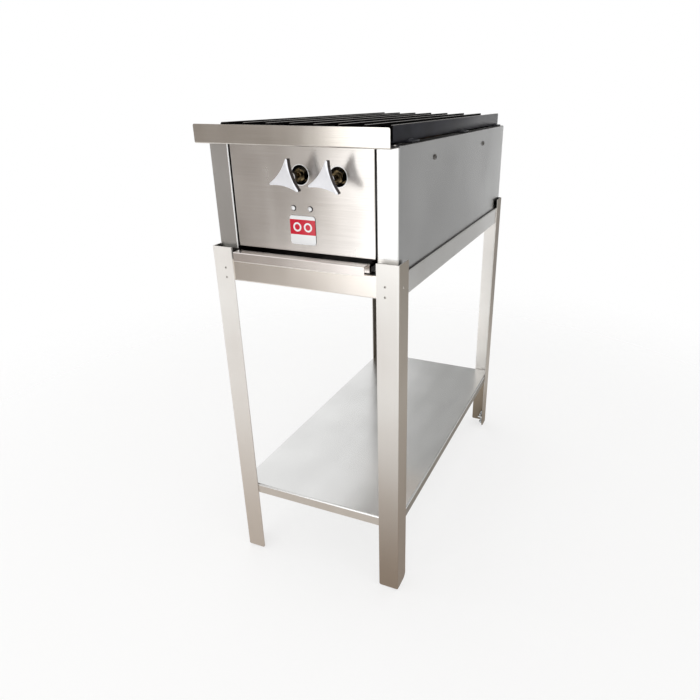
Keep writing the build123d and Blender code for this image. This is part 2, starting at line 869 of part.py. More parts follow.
def manifold_plug():
    """The hexagon plug in the manifold's closed end."""
    end = manifold_right_end
    head = hexagon(plug_flats, "X", (manifold_y, manifold_z), (end, end + plug_length))
    thread_radius = manifold_bore - thread_clearance
    return head + rod(thread_radius, "X", (manifold_y, manifold_z), (end - pipe_grip, end + overlap))


def inlet_elbow():
    """The elbow that turns the manifold towards the rear."""
    corner_x, corner_y = inlet_x, manifold_y
    path = FilletPolyline(
        (corner_x + elbow_reach, corner_y, manifold_z),
        (corner_x, corner_y, manifold_z),
        (corner_x, corner_y + elbow_reach, manifold_z),
        radius=elbow_bend,
    )
    start_plane = Plane(origin=path @ 0, z_dir=path % 0)
    body = sweep(start_plane * Circle(elbow_radius), path)
    bore = sweep(start_plane * Circle(manifold_bore), path)
    socket_radius = manifold_radius + thread_clearance
    bottom, mouth = elbow_reach - elbow_socket, elbow_reach + overlap
    x_socket = rod(socket_radius, "X", (corner_y, manifold_z), (corner_x + bottom, corner_x + mouth))
    y_socket = rod(socket_radius, "Y", (corner_x, manifold_z), (corner_y + bottom, corner_y + mouth))
    return body - bore - x_socket - y_socket


def inlet_pipe():
    """The straight pipe from the elbow to the inlet fitting outside the back panel."""
    start_y = manifold_y + elbow_reach - elbow_socket
    end_y = rear_y + inlet_reach - inlet_thread_length - inlet_hex_length / 2
    pipe = rod(manifold_radius, "Y", (inlet_x, manifold_z), (start_y, end_y))
    return pipe - hole(manifold_bore, "Y", (inlet_x, manifold_z), (start_y, end_y))


def inlet_fitting():
    """The threaded gas inlet: a hexagon collar on the pipe's end and a male thread behind it."""
    end_y = rear_y + inlet_reach
    hex_rear = end_y - inlet_thread_length
    hex_front = hex_rear - inlet_hex_length
    body = hexagon(inlet_hex_flats, "Y", (inlet_x, manifold_z), (hex_front, hex_rear))
    body += rod(inlet_thread_radius, "Y", (inlet_x, manifold_z), (hex_rear - overlap, end_y))
    body -= hole(manifold_bore, "Y", (inlet_x, manifold_z), (hex_front, end_y))
    socket_limits = (hex_front - overlap, hex_front + inlet_hex_length / 2)
    return body - rod(manifold_radius + thread_clearance, "Y", (inlet_x, manifold_z), socket_limits)


clamp_bolt_xs = (-clamp_bolt_spacing / 2, clamp_bolt_spacing / 2)


def drill_clamp(piece):
    """The piece with the holes of the two clamp bolts."""
    for x in clamp_bolt_xs:
        limits = (panel_front, panel_back + clamp_sheet)
        piece -= hole(clamp_bolt_radius + screw_clearance, "Y", (x, clamp_bolt_z), limits)
    return piece


def manifold_clamp():
    """A bent strip bolted inside the panel, which cradles the manifold from below and behind."""
    shelf_top = clamp_shelf_z - thread_clearance
    x_limits = (-clamp_width / 2, clamp_width / 2)
    tab_limits = (clamp_bolt_z - clamp_tab / 2, shelf_top)
    tab = slab(x_limits, (panel_back, panel_back + clamp_sheet), tab_limits)
    shelf = slab(x_limits, (panel_back, manifold_y), (shelf_top - clamp_sheet, shelf_top))
    inner = manifold_radius + thread_clearance
    outer = inner + clamp_sheet
    plane = Plane(origin=(-clamp_width / 2, manifold_y, manifold_z), x_dir=(0, 1, 0), z_dir=(1, 0, 0))
    end_turn = radians(clamp_wrap)
    wrap = [
        CenterArc((0, 0), outer, -90, 90 + clamp_wrap),
        Line((outer * cos(end_turn), outer * sin(end_turn)), (inner * cos(end_turn), inner * sin(end_turn))),
        CenterArc((0, 0), inner, -90, 90 + clamp_wrap),
        Line((0, -inner), (0, -outer)),
    ]
    saddle = extrude(plane * make_face(wrap), clamp_width)
    return drill_clamp(tab + shelf + saddle)


def clamp_bolts():
    """Dome-headed bolts seen on the panel, which hold the manifold clamp."""
    bolts = []
    for x in clamp_bolt_xs:
        length = casing_sheet + clamp_sheet + nut_height + clamp_bolt_radius
        shank = rod(clamp_bolt_radius, "Z", (0, 0), (clamp_head_height / 2, -length))
        bolt = dome(clamp_head_radius, clamp_head_height) + shank
        bolts.append(facing((x, panel_front, clamp_bolt_z), (0, -1, 0)) * bolt)
    return group(bolts)


def clamp_nuts():
    """The nuts of the clamp bolts, behind the clamp's tab."""
    seat = panel_back + clamp_sheet
    nuts = []
    for x in clamp_bolt_xs:
        nut = hexagon(nut_flats, "Y", (x, clamp_bolt_z), (seat, seat + nut_height))
        bore_radius = clamp_bolt_radius + thread_clearance
        nuts.append(nut - hole(bore_radius, "Y", (x, clamp_bolt_z), (seat, seat + nut_height)))
    return group(nuts)


# Valves and knobs

def valve_body(name):
    """A brass valve barrel with a nipple down into the manifold and an outlet to the rear."""
    x = valve_xs[name]
    nipple_end = manifold_z + manifold_radius - nipple_entry
    cavity_end = barrel_front + cavity_length
    body = rod(barrel_radius, "Y", (x, valve_z), (barrel_front, barrel_rear))
    body += rod(nipple_radius, "Z", (x, manifold_y), (valve_z, nipple_end))
    body -= rod(plug_radius + running_clearance, "Y", (x, valve_z), (barrel_front - overlap, cavity_end))
    body -= rod(nipple_bore, "Z", (x, manifold_y), (valve_z, nipple_end - overlap))
    return body - hole(outlet_bore, "Y", (x, valve_z), (cavity_end, barrel_rear))


def valve_bonnets():
    """Hexagon caps with a round nose, which close the valves' front ends round the stems."""
    nose_front = bonnet_front - bonnet_nose_length
    bonnets = []
    for x in valve_xs.values():
        cap = hexagon(bonnet_flats, "Y", (x, valve_z), (bonnet_front, barrel_front))
        cap += rod(bonnet_nose_radius, "Y", (x, valve_z), (nose_front, bonnet_front + overlap))
        spigot_end = barrel_front + bonnet_spigot
        cap += rod(plug_radius - thread_clearance, "Y", (x, valve_z), (barrel_front - overlap, spigot_end))
        bore_radius = stem_radius + running_clearance
        bonnets.append(cap - hole(bore_radius, "Y", (x, valve_z), (nose_front, spigot_end)))
    return group(bonnets)


def valve_stem(name):
    """A stem and its plug in one piece, with a flat for the knob; shut, its port points to the left."""
    x = valve_xs[name]
    plug_front = barrel_front + bonnet_spigot + plug_gap
    plug_rear = barrel_front + cavity_length - plug_gap
    stem = rod(stem_radius, "Y", (x, valve_z), (stem_tip, plug_rear))
    stem += rod(plug_radius, "Y", (x, valve_z), (plug_front, plug_rear))
    flat_limits = (valve_z + stem_flat, valve_z + 2 * stem_radius)
    stem -= slab((x - stem_radius, x + stem_radius), (stem_tip - overlap, hub_back), flat_limits)
    passage = rod(nipple_bore, "X", (manifold_y, valve_z), (x, x - 2 * plug_radius))
    outlet = rod(outlet_bore, "Y", (x, valve_z), (manifold_y, plug_rear + overlap))
    return stem - passage - outlet


def polar(radius, angle):
    """A point of a plane, given by its distance and its angle in degrees."""
    return Vector(radius * cos(radians(angle)), radius * sin(radians(angle)))


def knob_outline():
    """Three rounded tips, the first on +X, joined by hollow arcs that run smoothly into them."""
    tip_centre = knob_tip_radius - knob_tip_round
    waist = knob_waist_radius - knob_tip_round
    hollow_centre = (tip_centre**2 - waist**2) / (2 * (tip_centre * cos(radians(60)) - waist))
    edges = []
    for turn in (0, 120, 240):
        tip = polar(tip_centre, turn)
        next_tip = polar(tip_centre, turn + 120)
        before, after = polar(hollow_centre, turn - 60), polar(hollow_centre, turn + 60)
        arrive = tip + (before - tip).normalized() * knob_tip_round
        leave = tip + (after - tip).normalized() * knob_tip_round
        following = next_tip + (after - next_tip).normalized() * knob_tip_round
        edges.append(ThreePointArc(arrive, polar(knob_tip_radius, turn), leave))
        edges.append(ThreePointArc(leave, polar(knob_waist_radius, turn + 60), following))
    return make_face(edges)


def knob(name):
    """A cast three-pointed knob with hollowed sides and a hub behind it."""
    x = valve_xs[name]
    plane = Plane(origin=(x, knob_back, valve_z), x_dir=(1, 0, 0), z_dir=(0, -1, 0))
    plate = extrude(plane * Rot(0, 0, knob_first_tip) * knob_outline(), knob_thickness)
    plate = chamfer(plate.faces().sort_by(Axis.Y)[0].edges(), knob_edge)
    body = plate + rod(knob_hub_radius, "Y", (x, valve_z), (knob_back - overlap, hub_back))
    bore_limits = (stem_tip - thread_clearance, hub_back + overlap)
    bore = rod(stem_radius + thread_clearance, "Y", (x, valve_z), bore_limits)
    flat_limits = (valve_z + stem_flat + thread_clearance, valve_z + 2 * stem_radius)
    bore -= slab((x - 2 * stem_radius, x + 2 * stem_radius), bore_limits, flat_limits)
    return body - bore - set_screw_bore(x)


def set_screw_middle():
    """How far back the set screws are, half way along the knobs' hubs."""
    return (knob_back + hub_back) / 2


def set_screw_bore(x):
    """The tapped hole through a knob's hub, over the stem's flat."""
    y = set_screw_middle()
    top = valve_z + knob_hub_radius + 1
    return rod(set_screw_radius + thread_clearance, "Z", (x, y), (valve_z + stem_flat, top))


def knob_screw(name):
    """The set screw that presses on the stem's flat."""
    x, y = valve_xs[name], set_screw_middle()
    bottom = valve_z + stem_flat + thread_clearance
    top = valve_z + knob_hub_radius - set_screw_radius / 2
    return rod(set_screw_radius, "Z", (x, y), (bottom, top))


def orifice_spuds():
    """Brass jets screwed on the valves' outlets, whose noses enter the burners' mouths."""
    spuds = []
    nose_end = mouth_y + spud_entry
    for x in valve_xs.values():
        hex_end = barrel_rear + spud_length
        spud = hexagon(spud_flats, "Y", (x, valve_z), (barrel_rear, hex_end))
        spud += rod(spud_nose_radius, "Y", (x, valve_z), (hex_end - overlap, nose_end))
        spud -= rod(outlet_bore, "Y", (x, valve_z), (barrel_rear - overlap, nose_end - outlet_bore))
        spuds.append(spud - rod(spud_jet, "Y", (x, valve_z), (barrel_rear, nose_end + overlap)))
    return group(spuds)


# Grate and drip tray

def grate_bars():
    """Flat bars on edge, front to back, with the top front corner of each cut off."""
    pitch = 2 * outer_bar_x / (bar_count - 1)
    bars = []
    for step in range(bar_count):
        middle = -outer_bar_x + step * pitch
        x_limits = (middle - bar_thickness / 2, middle + bar_thickness / 2)
        bar = slab(x_limits, (bar_front, bar_rear), (bar_bottom, bar_bottom + bar_height))
        nose = bar.edges().filter_by(Axis.X).sort_by(Axis.Z)[-2:].sort_by(Axis.Y)[0]
        bars.append(chamfer(nose, bar_nose))
    return group(bars)


def grate_straps():
    """Flat straps welded across under the bars, which lie on the casing's top flanges."""
    half = outer_bar_x + strap_overhang
    first, last = bar_front + strap_front_inset, bar_rear - strap_rear_inset
    straps = []
    for middle in (first, (first + last) / 2, last):
        y_limits = (middle - strap_width / 2, middle + strap_width / 2)
        straps.append(slab((-half, half), y_limits, (strap_bottom, bar_bottom)))
    return group(straps)


def drip_tray():
    """A folded pan whose front wall turns over into a pull lip."""
    points = [
        (tray_front, tray_bottom),
        (tray_front, tray_top_z),
        (tray_lip_front, tray_top_z),
        (tray_lip_front, rail_top_z + tray_lip_bottom),
        (tray_lip_front + tray_sheet, rail_top_z + tray_lip_bottom),
        (tray_lip_front + tray_sheet, tray_top_z - tray_sheet),
        (tray_front - tray_sheet, tray_top_z - tray_sheet),
        (tray_front - tray_sheet, tray_bottom),
    ]
    section = bent_profile(points, [1, 2], [5, 6], tray_bend, tray_bend - tray_sheet)
    lip = extrude(Plane.YZ * section, tray_lip_half, both=True)
    y_limits = (tray_front - tray_sheet, tray_rear)
    block = slab((-tray_half, tray_half), y_limits, (tray_bottom, tray_top_z))
    hollow = slab(
        (-tray_half + tray_sheet, tray_half - tray_sheet),
        (tray_front, tray_rear - tray_sheet),
        (tray_floor, tray_top_z + overlap),
    )
    front_cut = slab((-tray_half, tray_half), (y_limits[0], tray_front), (tray_floor, tray_top_z))
    return block - hollow - front_cut + lip


def tray_runner(side):
    """A strip from front rail to rear rail that carries the tray's edge, guides it and covers the gap to the side."""
    guide = tray_lip_half + runner_side_gap
    guide_top = rail_top_z + runner_guide
    cover = wall_inner - runner_cover_gap
    inset = leg_sheet + rail_sheet + runner_end_gap
    front, rear = front_y + inset, rear_y - inset
    outline = [
        (guide + runner_sheet, rail_top_z),
        (guide + runner_sheet, guide_top - runner_sheet),
        (cover, guide_top - runner_sheet),
        (cover, guide_top),
        (guide, guide_top),
        (guide, runner_top),
        (guide - runner_width, runner_top),
        (guide - runner_width, rail_top_z),
    ]
    outline = [(side * x, z) for x, z in outline]
    section = bent_profile(outline, [0, 4], [1, 5], rail_bend, rail_bend - runner_sheet)
    plane = Plane(origin=(0, rear, 0), x_dir=(1, 0, 0), z_dir=(0, -1, 0))
    runner = extrude(plane * section, rear - front)

    # The cover starts behind the post.
    cut_x = sorted((side * (guide + runner_sheet), side * cover))
    cut_y = (front, casing_front + post_return + runner_cover_gap)
    cut_z = (guide_top - rail_bend - runner_sheet, guide_top)
    return runner - slab(cut_x, cut_y, cut_z)


# All nodes, in the order the stove is put together

nodes = {}
for corner_name, corner in corners.items():
    nodes["leg_" + corner_name] = leg(*corner)
for face_name, face in (("front", -1), ("rear", 1)):
    nodes[face_name + "_rail"] = cross_rail(face)
for side_name, side in (("left", -1), ("right", 1)):
    nodes[side_name + "_rail"] = side_rail(side)
nodes["stand_rivets"] = group(rivet(point, outward, stand_grip) for point, outward in stand_rivet_places)
nodes["lower_shelf"] = lower_shelf()
nodes["foot_brackets"] = group(foot_bracket(*corner) for corner in corners.values())
nodes["foot_nuts"] = group(foot_nut(*corner) for corner in corners.values())
for corner_name, corner in corners.items():
    nodes["levelling_foot_" + corner_name] = levelling_foot(*corner)
for side_name, side in (("left", -1), ("right", 1)):
    nodes[side_name + "_side_panel"] = side_panel(side)
    nodes["tray_runner_" + side_name] = tray_runner(side)
nodes["back_panel"] = back_panel()
nodes["front_ledge"] = front_ledge()
nodes["front_panel"] = front_panel()
nodes["badge_plate"] = badge_plate()
nodes["casing_rivets"] = group(rivet(*place) for place in casing_rivet_places())
nodes["casing_screws"] = casing_screws()
nodes["casing_nuts"] = casing_nuts()
for name in valve_xs:
    nodes["burner_support_" + name] = burner_support(name)
    nodes["burner_" + name] = burner(name)
    nodes["air_shutter_" + name] = air_shutter(name)
    nodes["valve_body_" + name] = valve_body(name)
    nodes["valve_stem_" + name] = valve_stem(name)
    nodes["knob_" + name] = knob(name)
    nodes["knob_screw_" + name] = knob_screw(name)
nodes["support_screws"] = support_screws()
nodes["support_nuts"] = support_nuts()
nodes["shutter_screws"] = shutter_screws()
nodes["valve_bonnets"] = valve_bonnets()
nodes["orifice_spuds"] = orifice_spuds()
nodes["gas_manifold"] = gas_manifold()
nodes["manifold_plug"] = manifold_plug()
nodes["manifold_clamp"] = manifold_clamp()
nodes["clamp_bolts"] = clamp_bolts()
nodes["clamp_nuts"] = clamp_nuts()
nodes["inlet_elbow"] = inlet_elbow()
nodes["inlet_pipe"] = inlet_pipe()
nodes["inlet_fitting"] = inlet_fitting()
nodes["grate_bars"] = grate_bars()
nodes["grate_straps"] = grate_straps()
nodes["drip_tray"] = drip_tray()

os.makedirs("parts", exist_ok=True)
for node_name, solid in nodes.items():
    export_step(solid, "parts/" + node_name + ".step")
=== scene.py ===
import math

import bpy
from mathutils import Matrix, Vector


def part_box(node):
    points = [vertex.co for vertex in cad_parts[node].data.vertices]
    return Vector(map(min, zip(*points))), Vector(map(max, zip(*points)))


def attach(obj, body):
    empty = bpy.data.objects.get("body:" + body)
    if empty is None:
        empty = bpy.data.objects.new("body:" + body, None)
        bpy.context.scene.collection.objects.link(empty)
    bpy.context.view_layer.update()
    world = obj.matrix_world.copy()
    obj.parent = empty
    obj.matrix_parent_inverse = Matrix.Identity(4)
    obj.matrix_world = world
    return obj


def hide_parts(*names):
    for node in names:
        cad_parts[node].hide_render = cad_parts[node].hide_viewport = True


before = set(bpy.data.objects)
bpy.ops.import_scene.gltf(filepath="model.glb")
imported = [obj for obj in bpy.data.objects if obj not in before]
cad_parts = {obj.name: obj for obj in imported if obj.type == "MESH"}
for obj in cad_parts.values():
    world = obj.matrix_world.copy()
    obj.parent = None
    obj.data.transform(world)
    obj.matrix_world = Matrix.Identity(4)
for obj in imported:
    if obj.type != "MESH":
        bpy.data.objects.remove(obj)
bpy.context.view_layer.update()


# Legs: four angles folded from 2 mm stainless sheet with the finish of the mill. They stand on the levelling
# feet and hold the rails, which are riveted inside them. Their outer sides and the insides of the folds are
# painted darker as shade, and their lower ends are painted darker towards the floor as a reflection of it.

mm = 0.001


def colour(code):
    """A colour written as an sRGB hex code, turned to linear light."""
    parts = [int(code[place:place + 2], 16) / 255 for place in (1, 3, 5)]
    return [part / 12.92 if part <= 0.04045 else ((part + 0.055) / 1.055) ** 2.4 for part in parts] + [1.0]


def add_node(tree, kind, feeds=None, **settings):
    """Adds one node. Each feed is a socket's plain value, or another node's socket that gives it."""
    node = tree.nodes.new(kind)
    for name, setting in settings.items():
        setattr(node, name, setting)
    for socket, feed in (feeds or {}).items():
        if isinstance(feed, bpy.types.NodeSocket):
            tree.links.new(feed, node.inputs[socket])
        else:
            node.inputs[socket].default_value = feed
    return node


def work_out(tree, operation, *terms):
    """One step of arithmetic with numbers or sockets."""
    return add_node(tree, "ShaderNodeMath", dict(enumerate(terms)), operation=operation).outputs["Value"]


def noise(tree, where, size, detail, roughness=0.5):
    """A cloudy pattern from 0 to 1 with spots of about this size."""
    return add_node(tree, "ShaderNodeTexNoise", {"Vector": where, "Scale": 1 / size, "Detail": detail,
                                                 "Roughness": roughness}).outputs["Fac"]


def ramp(tree, source, start, end, low=0.0, high=1.0, easing="LINEAR"):
    """Goes from low to high while a value goes from start to end, and no further."""
    return add_node(tree, "ShaderNodeMapRange", {"Value": source, "From Min": start, "From Max": end,
                                                 "To Min": low, "To Max": high},
                    interpolation_type=easing).outputs["Result"]


def blend(tree, share, first, second):
    """A colour between two, each a hex code, a list or a socket."""
    first, second = (colour(tone) if isinstance(tone, str) else tone for tone in (first, second))
    return add_node(tree, "ShaderNodeMix", {0: share, 6: first, 7: second}, data_type="RGBA").outputs[2]


def between(tree, share, first, second):
    """A number between two, each plain or from a socket."""
    return add_node(tree, "ShaderNodeMix", {0: share, 2: first, 3: second}, data_type="FLOAT").outputs[0]


def bump(tree, height, strength, distance, **under):
    """A surface raised by a pattern, over the bump below it where there is one."""
    return add_node(tree, "ShaderNodeBump", {"Height": height, "Strength": strength, "Distance": distance,
                                             **under}).outputs["Normal"]


def new_material(name):
    """A node material with nothing in it but Object coordinates and an output."""
    material = bpy.data.materials.new(name)
    material.use_nodes = True
    tree = material.node_tree
    tree.nodes.clear()
    place = add_node(tree, "ShaderNodeTexCoord").outputs["Object"]
    output = add_node(tree, "ShaderNodeOutputMaterial")
    return material, tree, place, output.inputs["Surface"]


def coat(tree, surface, feeds):
    """Ends a material with one shader and what feeds it."""
    shader = add_node(tree, "ShaderNodeBsdfPrincipled", feeds)
    tree.links.new(shader.outputs["BSDF"], surface)


def inside_box(tree, place, low, high):
    """1 for the points of a piece inside a box given by two corners in millimetres, 0 for the rest."""
    middle = [(first + last) / 2 * mm for first, last in zip(low, high)]
    half = [(last - first) / 2 * mm for first, last in zip(low, high)]
    centred = add_node(tree, "ShaderNodeMapping", {
        "Vector": place, "Location": [-centre / reach for centre, reach in zip(middle, half)],
        "Scale": [1 / reach for reach in half]})
    folded = add_node(tree, "ShaderNodeVectorMath", {0: centred.outputs["Vector"]}, operation="ABSOLUTE")
    parts = add_node(tree, "ShaderNodeSeparateXYZ", {0: folded.outputs["Vector"]}).outputs
    furthest = work_out(tree, "MAXIMUM", work_out(tree, "MAXIMUM", parts["X"], parts["Y"]), parts["Z"])
    return work_out(tree, "LESS_THAN", furthest, 1.0)


def satin_stainless(name, grain_axis, pale, deep, roughness, stains_and_painted_light=(), foot=None, metallic=1.0, across=None,
                    rims=()):
    """Stainless sheet: a fine grain along one axis draws reflections out across it, and its tone drifts.
    The real grain is 0.1 mm wide; it is drawn 1.5 mm wide so that it shows. Each film is a box, by two
    corners in mm, and the colour painted in it, for soot, grease, painted shade and painted highlights. Foot
    is the colour and height in mm of a painted reflection of the floor. Rims are round holes, by their X, Z
    and radius in mm, with a painted white highlight round their edges."""
    grain_width, grain_length = 1.5 * mm, 120 * mm
    wipe_width, wipe_length = 45 * mm, 160 * mm
    tone_patch, sheet_wave = 160 * mm, 130 * mm
    grain_share, wipe_share = 0.2, 0.25
    film_roughness, rim_highlight_metallic = 0.5, 0.3
    rim_highlight_width, rim_highlight_fade = 0.9 * mm, 1.0 * mm
    material, tree, place, surface = new_material(name)
    stretch = [1 / grain_width] * 3
    stretch[grain_axis] = 1 / grain_length
    laid = add_node(tree, "ShaderNodeMapping", {"Vector": place, "Scale": stretch}).outputs["Vector"]
    grain = noise(tree, laid, 1.0, 3.0, 0.6)
    drift = noise(tree, place, tone_patch, 2.0)
    wipes = add_node(tree, "ShaderNodeMapping", {
        "Vector": place, "Scale": [1 / wipe_width, 1 / wipe_length, 1 / wipe_length]}).outputs["Vector"]
    wiped = noise(tree, wipes, 1.0, 1.0)
    both = work_out(tree, "MULTIPLY_ADD", grain, grain_share, drift)
    mixed = work_out(tree, "MULTIPLY_ADD", wiped, wipe_share, both)
    tint = blend(tree, ramp(tree, mixed, 0.52, 0.92), deep, pale)
    gloss = ramp(tree, wiped, 0.25, 0.75, roughness - 0.03, roughness + 0.03)
    cover = ramp(tree, wiped, 0.35, 0.65, 0.93)
    shine = metallic
    # Painted highlight: a white ring round the edge of each hole.
    for rim_x, rim_z, rim_radius in rims:
        centred = add_node(tree, "ShaderNodeMapping", {
            "Vector": place, "Location": [-rim_x * mm, 0, -rim_z * mm], "Scale": [1, 0, 1]})
        reach = add_node(tree, "ShaderNodeVectorMath", {0: centred.outputs["Vector"]}, operation="LENGTH")
        rim_highlight_end = rim_radius * mm + rim_highlight_width
        rubbed_and_highlight = ramp(tree, reach.outputs["Value"], rim_highlight_end + rim_highlight_fade, rim_highlight_end, easing="SMOOTHSTEP")
        tint = blend(tree, rubbed_and_highlight, tint, "#ffffff")
        shine = between(tree, rubbed_and_highlight, shine, rim_highlight_metallic)
    for low, high, film_tone in stains_and_painted_light:
        film = work_out(tree, "MULTIPLY", inside_box(tree, place, low, high), cover)
        tint = blend(tree, film, tint, film_tone)
        gloss = between(tree, film, gloss, film_roughness)
    # Painted reflection of the floor: the colour darkens towards the bottom.
    if foot:
        floor_reflection_tone, floor_reflection_height = foot
        height = add_node(tree, "ShaderNodeSeparateXYZ", {0: place}).outputs["Z"]
        floor_reflection = ramp(tree, height, floor_reflection_height * mm, 0.0, easing="SMOOTHSTEP")
        tint = blend(tree, floor_reflection, tint, floor_reflection_tone)
    waved = bump(tree, noise(tree, place, sheet_wave, 1.0), 0.04, 4 * mm)
    scored = bump(tree, grain, 0.02, 0.2 * mm, Normal=waved)
    across = across or [float(axis != grain_axis) for axis in range(3)]
    drawn = add_node(tree, "ShaderNodeCombineXYZ", dict(enumerate(across))).outputs["Vector"]
    coat(tree, surface, {"Base Color": tint, "Metallic": shine, "Roughness": gloss, "Anisotropic": 0.7,
                         "Normal": scored, "Tangent": drawn})
    return material


def dress(material, *names):
    """Gives CAD nodes a material in each of their slots."""
    for name in names:
        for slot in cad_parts[name].material_slots:
            slot.material = material


# Cold rolled steel left as it came is pale and satin, with a faint upright grain. A look is the colour and
# height of the painted reflection of the floor at the foot, and how much of the metal's own shine is left.
# The soot tone also paints shade. The leg boxes paint shade on the folds, a rear left strip and the outer
# sides.
soot_and_shade_tone, inner_fold_shade, rear_left_shade, outer_side_shade = "#2a2623", "#55504a", "#423c31", "#b0a89e"
fold_x, fold_front, fold_rear = 180.8, -362.2, 375.5
side_inner, side_outer = 181.6, 183
rail_foot, leg_top, shelf_underside = 668, 700, 172
leg_painted_shade = [((-fold_x, fold_front, 0), (fold_x, fold_rear, rail_foot), inner_fold_shade),
             ((-fold_x, fold_front, rail_foot), (fold_x, 375.9, leg_top), soot_and_shade_tone),
             ((-fold_x, 330, 0), (-180.2, fold_rear, rail_foot), rear_left_shade),
             ((-side_outer, -363, 0), (-side_inner, 400, leg_top), outer_side_shade),
             ((side_inner, -363, 0), (side_outer, -300, leg_top), "#a89f93"),
             ((side_inner, 300, 0), (side_outer, 400, leg_top), outer_side_shade),
             ((136, fold_rear, 0), (180.4, 376.2, shelf_underside), "#b3a594")]
# Each foot colour is a painted reflection of the floor, darker towards the bottom of the leg.
leg_looks = {"front_left": (("#b5a99d", 640), 0.3), "front_right": (("#8a7b6c", 640), 0.75),
             "rear_left": (("#8f8474", 300), 0.8), "rear_right": (("#857969", 190), 1.0)}
for corner, (foot, metallic) in leg_looks.items():
    leg_steel = satin_stainless("mill_finish_stainless_leg_" + corner, 2, "#f7f5f1", "#eeeae5", 0.36,
                                leg_painted_shade, foot, metallic)
    dress(leg_steel, "leg_" + corner)


# Rails: folded stainless channels riveted between the legs. They are brushed along their length, which draws
# every highlight out across them. A dark band along their top edges, where the casing stands in them, is
# painted shade, and the cross rails are tinted warm as a painted reflection of the floor.

rail_seam_shade = [((-178.5, -361.0, 669.6), (178.5, 374.0, 672.0), soot_and_shade_tone)]
cross_rail_steel = satin_stainless("brushed_stainless_cross_rails", 0, "#f5efe8", "#eae3db", 0.22, rail_seam_shade)
side_rail_steel = satin_stainless("brushed_stainless_side_rails", 1, "#fbfaf7", "#f1efeb", 0.24, rail_seam_shade)
dress(cross_rail_steel, "front_rail", "rear_rail")
dress(side_rail_steel, "left_rail", "right_rail")


# Rivets of the stand: small blind rivets of drawn steel, each a dome with the stub of its pulled pin in the
# middle. Two go through the front of each leg into a cross rail and one through its side.

def turned(name, half_section, steps=24):
    """A round piece: half its section, drawn point by point as (radius, height) in mm, spun once round Z."""
    points = [Vector((radius, 0, height)) * mm for radius, height in half_section]
    bpy.ops.mesh.primitive_plane_add(size=0.01)
    piece = bpy.context.active_object
    piece.name = name
    bpy.ops.object.mode_set(mode="EDIT")
    bpy.ops.mesh.select_all(action="SELECT")
    bpy.ops.mesh.merge(type="CENTER")
    bpy.ops.transform.translate(value=points[0])
    for before, after in zip(points, points[1:]):
        bpy.ops.mesh.extrude_region_move(TRANSFORM_OT_translate={"value": after - before})
    bpy.ops.mesh.select_all(action="SELECT")
    bpy.ops.mesh.spin(steps=steps, angle=2 * math.pi, center=(0, 0, 0), axis=(0, 0, 1))
    bpy.ops.mesh.select_all(action="SELECT")
    bpy.ops.mesh.remove_doubles(threshold=1e-6)
    bpy.ops.mesh.normals_make_consistent(inside=False)
    bpy.ops.object.mode_set(mode="OBJECT")
    return piece


def set_out(name, pattern, places):
    """Copies of one piece, each with its own mesh and its Z axis along outward, joined; the pattern goes.
    A piece that stays upright isn't turned, so its front stays in front."""
    copies = []
    for point, outward in places:
        copy = pattern.copy()
        copy.data = pattern.data.copy()
        bpy.context.collection.objects.link(copy)
        turn = Matrix()
        if outward != (0, 0, 1):
            turn = Vector(outward).to_track_quat("Z", "Y").to_matrix().to_4x4()
        copy.data.transform(Matrix.Translation(Vector(point) * mm) @ turn)
        copies.append(copy)
    bpy.data.objects.remove(pattern)
    bpy.ops.object.select_all(action="DESELECT")
    for copy in copies:
        copy.select_set(True)
    bpy.context.view_layer.objects.active = copies[0]
    bpy.ops.object.join()
    copies[0].name = name
    return copies[0]


def pick(piece):
    """Makes a piece the only one selected, and the active one."""
    bpy.ops.object.select_all(action="DESELECT")
    piece.select_set(True)
    bpy.context.view_layer.objects.active = piece


def finished(piece, material, body, slot, *nodes):
    """Smooths a piece and gives it its material, its body and the nodes it stands for. The slot is not used.
    """
    pick(piece)
    bpy.ops.object.shade_smooth_by_angle(angle=math.radians(35))
    piece.data.materials.clear()
    piece.data.materials.append(material)
    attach(piece, body)
    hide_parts(*nodes)


def blind_rivet(name, grip):
    """One blind rivet that holds sheets of this thickness together."""
    dome = [(1.05, 0.1), (1.1, 0.86), (1.4, 0.78), (1.8, 0.58), (2.15, 0.3), (2.4, 0.0)]
    tail = [(1.2, 0.0), (1.2, -grip), (1.9, -grip - 0.2), (1.9, -grip - 1.8)]
    tail += [(1.4, -grip - 2.4), (0, -grip - 2.4)]
    return turned(name, [(0, 0.1)] + dome + tail, 20)


def rivet_pin(name):
    """The stub of the pulled pin, broken off just below the rivet's face."""
    return turned(name, [(0, 0.55), (0.5, 0.62), (0.8, 0.5), (1.0, 0.4), (1.0, 0.15), (0, 0.15)], 12)


# Drawn steel is grey and half matt. The pins broke off rough, so each is a dark dot in its dome.
rivet_steel = satin_stainless("drawn_steel_rivets", 2, "#d2cec8", "#bab5ae", 0.35)
pin_steel = satin_stainless("broken_steel_pins", 2, "#4a4643", "#2f2c2a", 0.5)
half_width, front_y, rear_y = 182.5, -364.35, 377.65
rail_middle, rivet_drop = 651.0, 6.0
rivet_from_side, rivet_from_face, rivet_half_pitch = 25, 20, 9
stand_rivet_places = []
for side in (-1, 1):
    for face, corner_y in ((-1, front_y), (1, rear_y)):
        for step in (-rivet_half_pitch, rivet_half_pitch):
            rivet_z = rail_middle - rivet_drop + step
            rivet_x = side * (half_width - rivet_from_side)
            stand_rivet_places.append(((rivet_x, corner_y, rivet_z), (0, face, 0)))
        rivet_y = corner_y - face * rivet_from_face
        stand_rivet_places.append(((side * half_width, rivet_y, rail_middle), (side, 0, 0)))
stand_rivets = set_out("stand_blind_rivets", blind_rivet("stand_rivet_pattern", 3.5), stand_rivet_places)
finished(stand_rivets, rivet_steel, "stove", "stainless", "stand_rivets")
stand_pins = set_out("stand_rivet_pins", rivet_pin("stand_pin_pattern"), stand_rivet_places)
finished(stand_pins, pin_steel, "stove", "stainless", "stand_rivets")
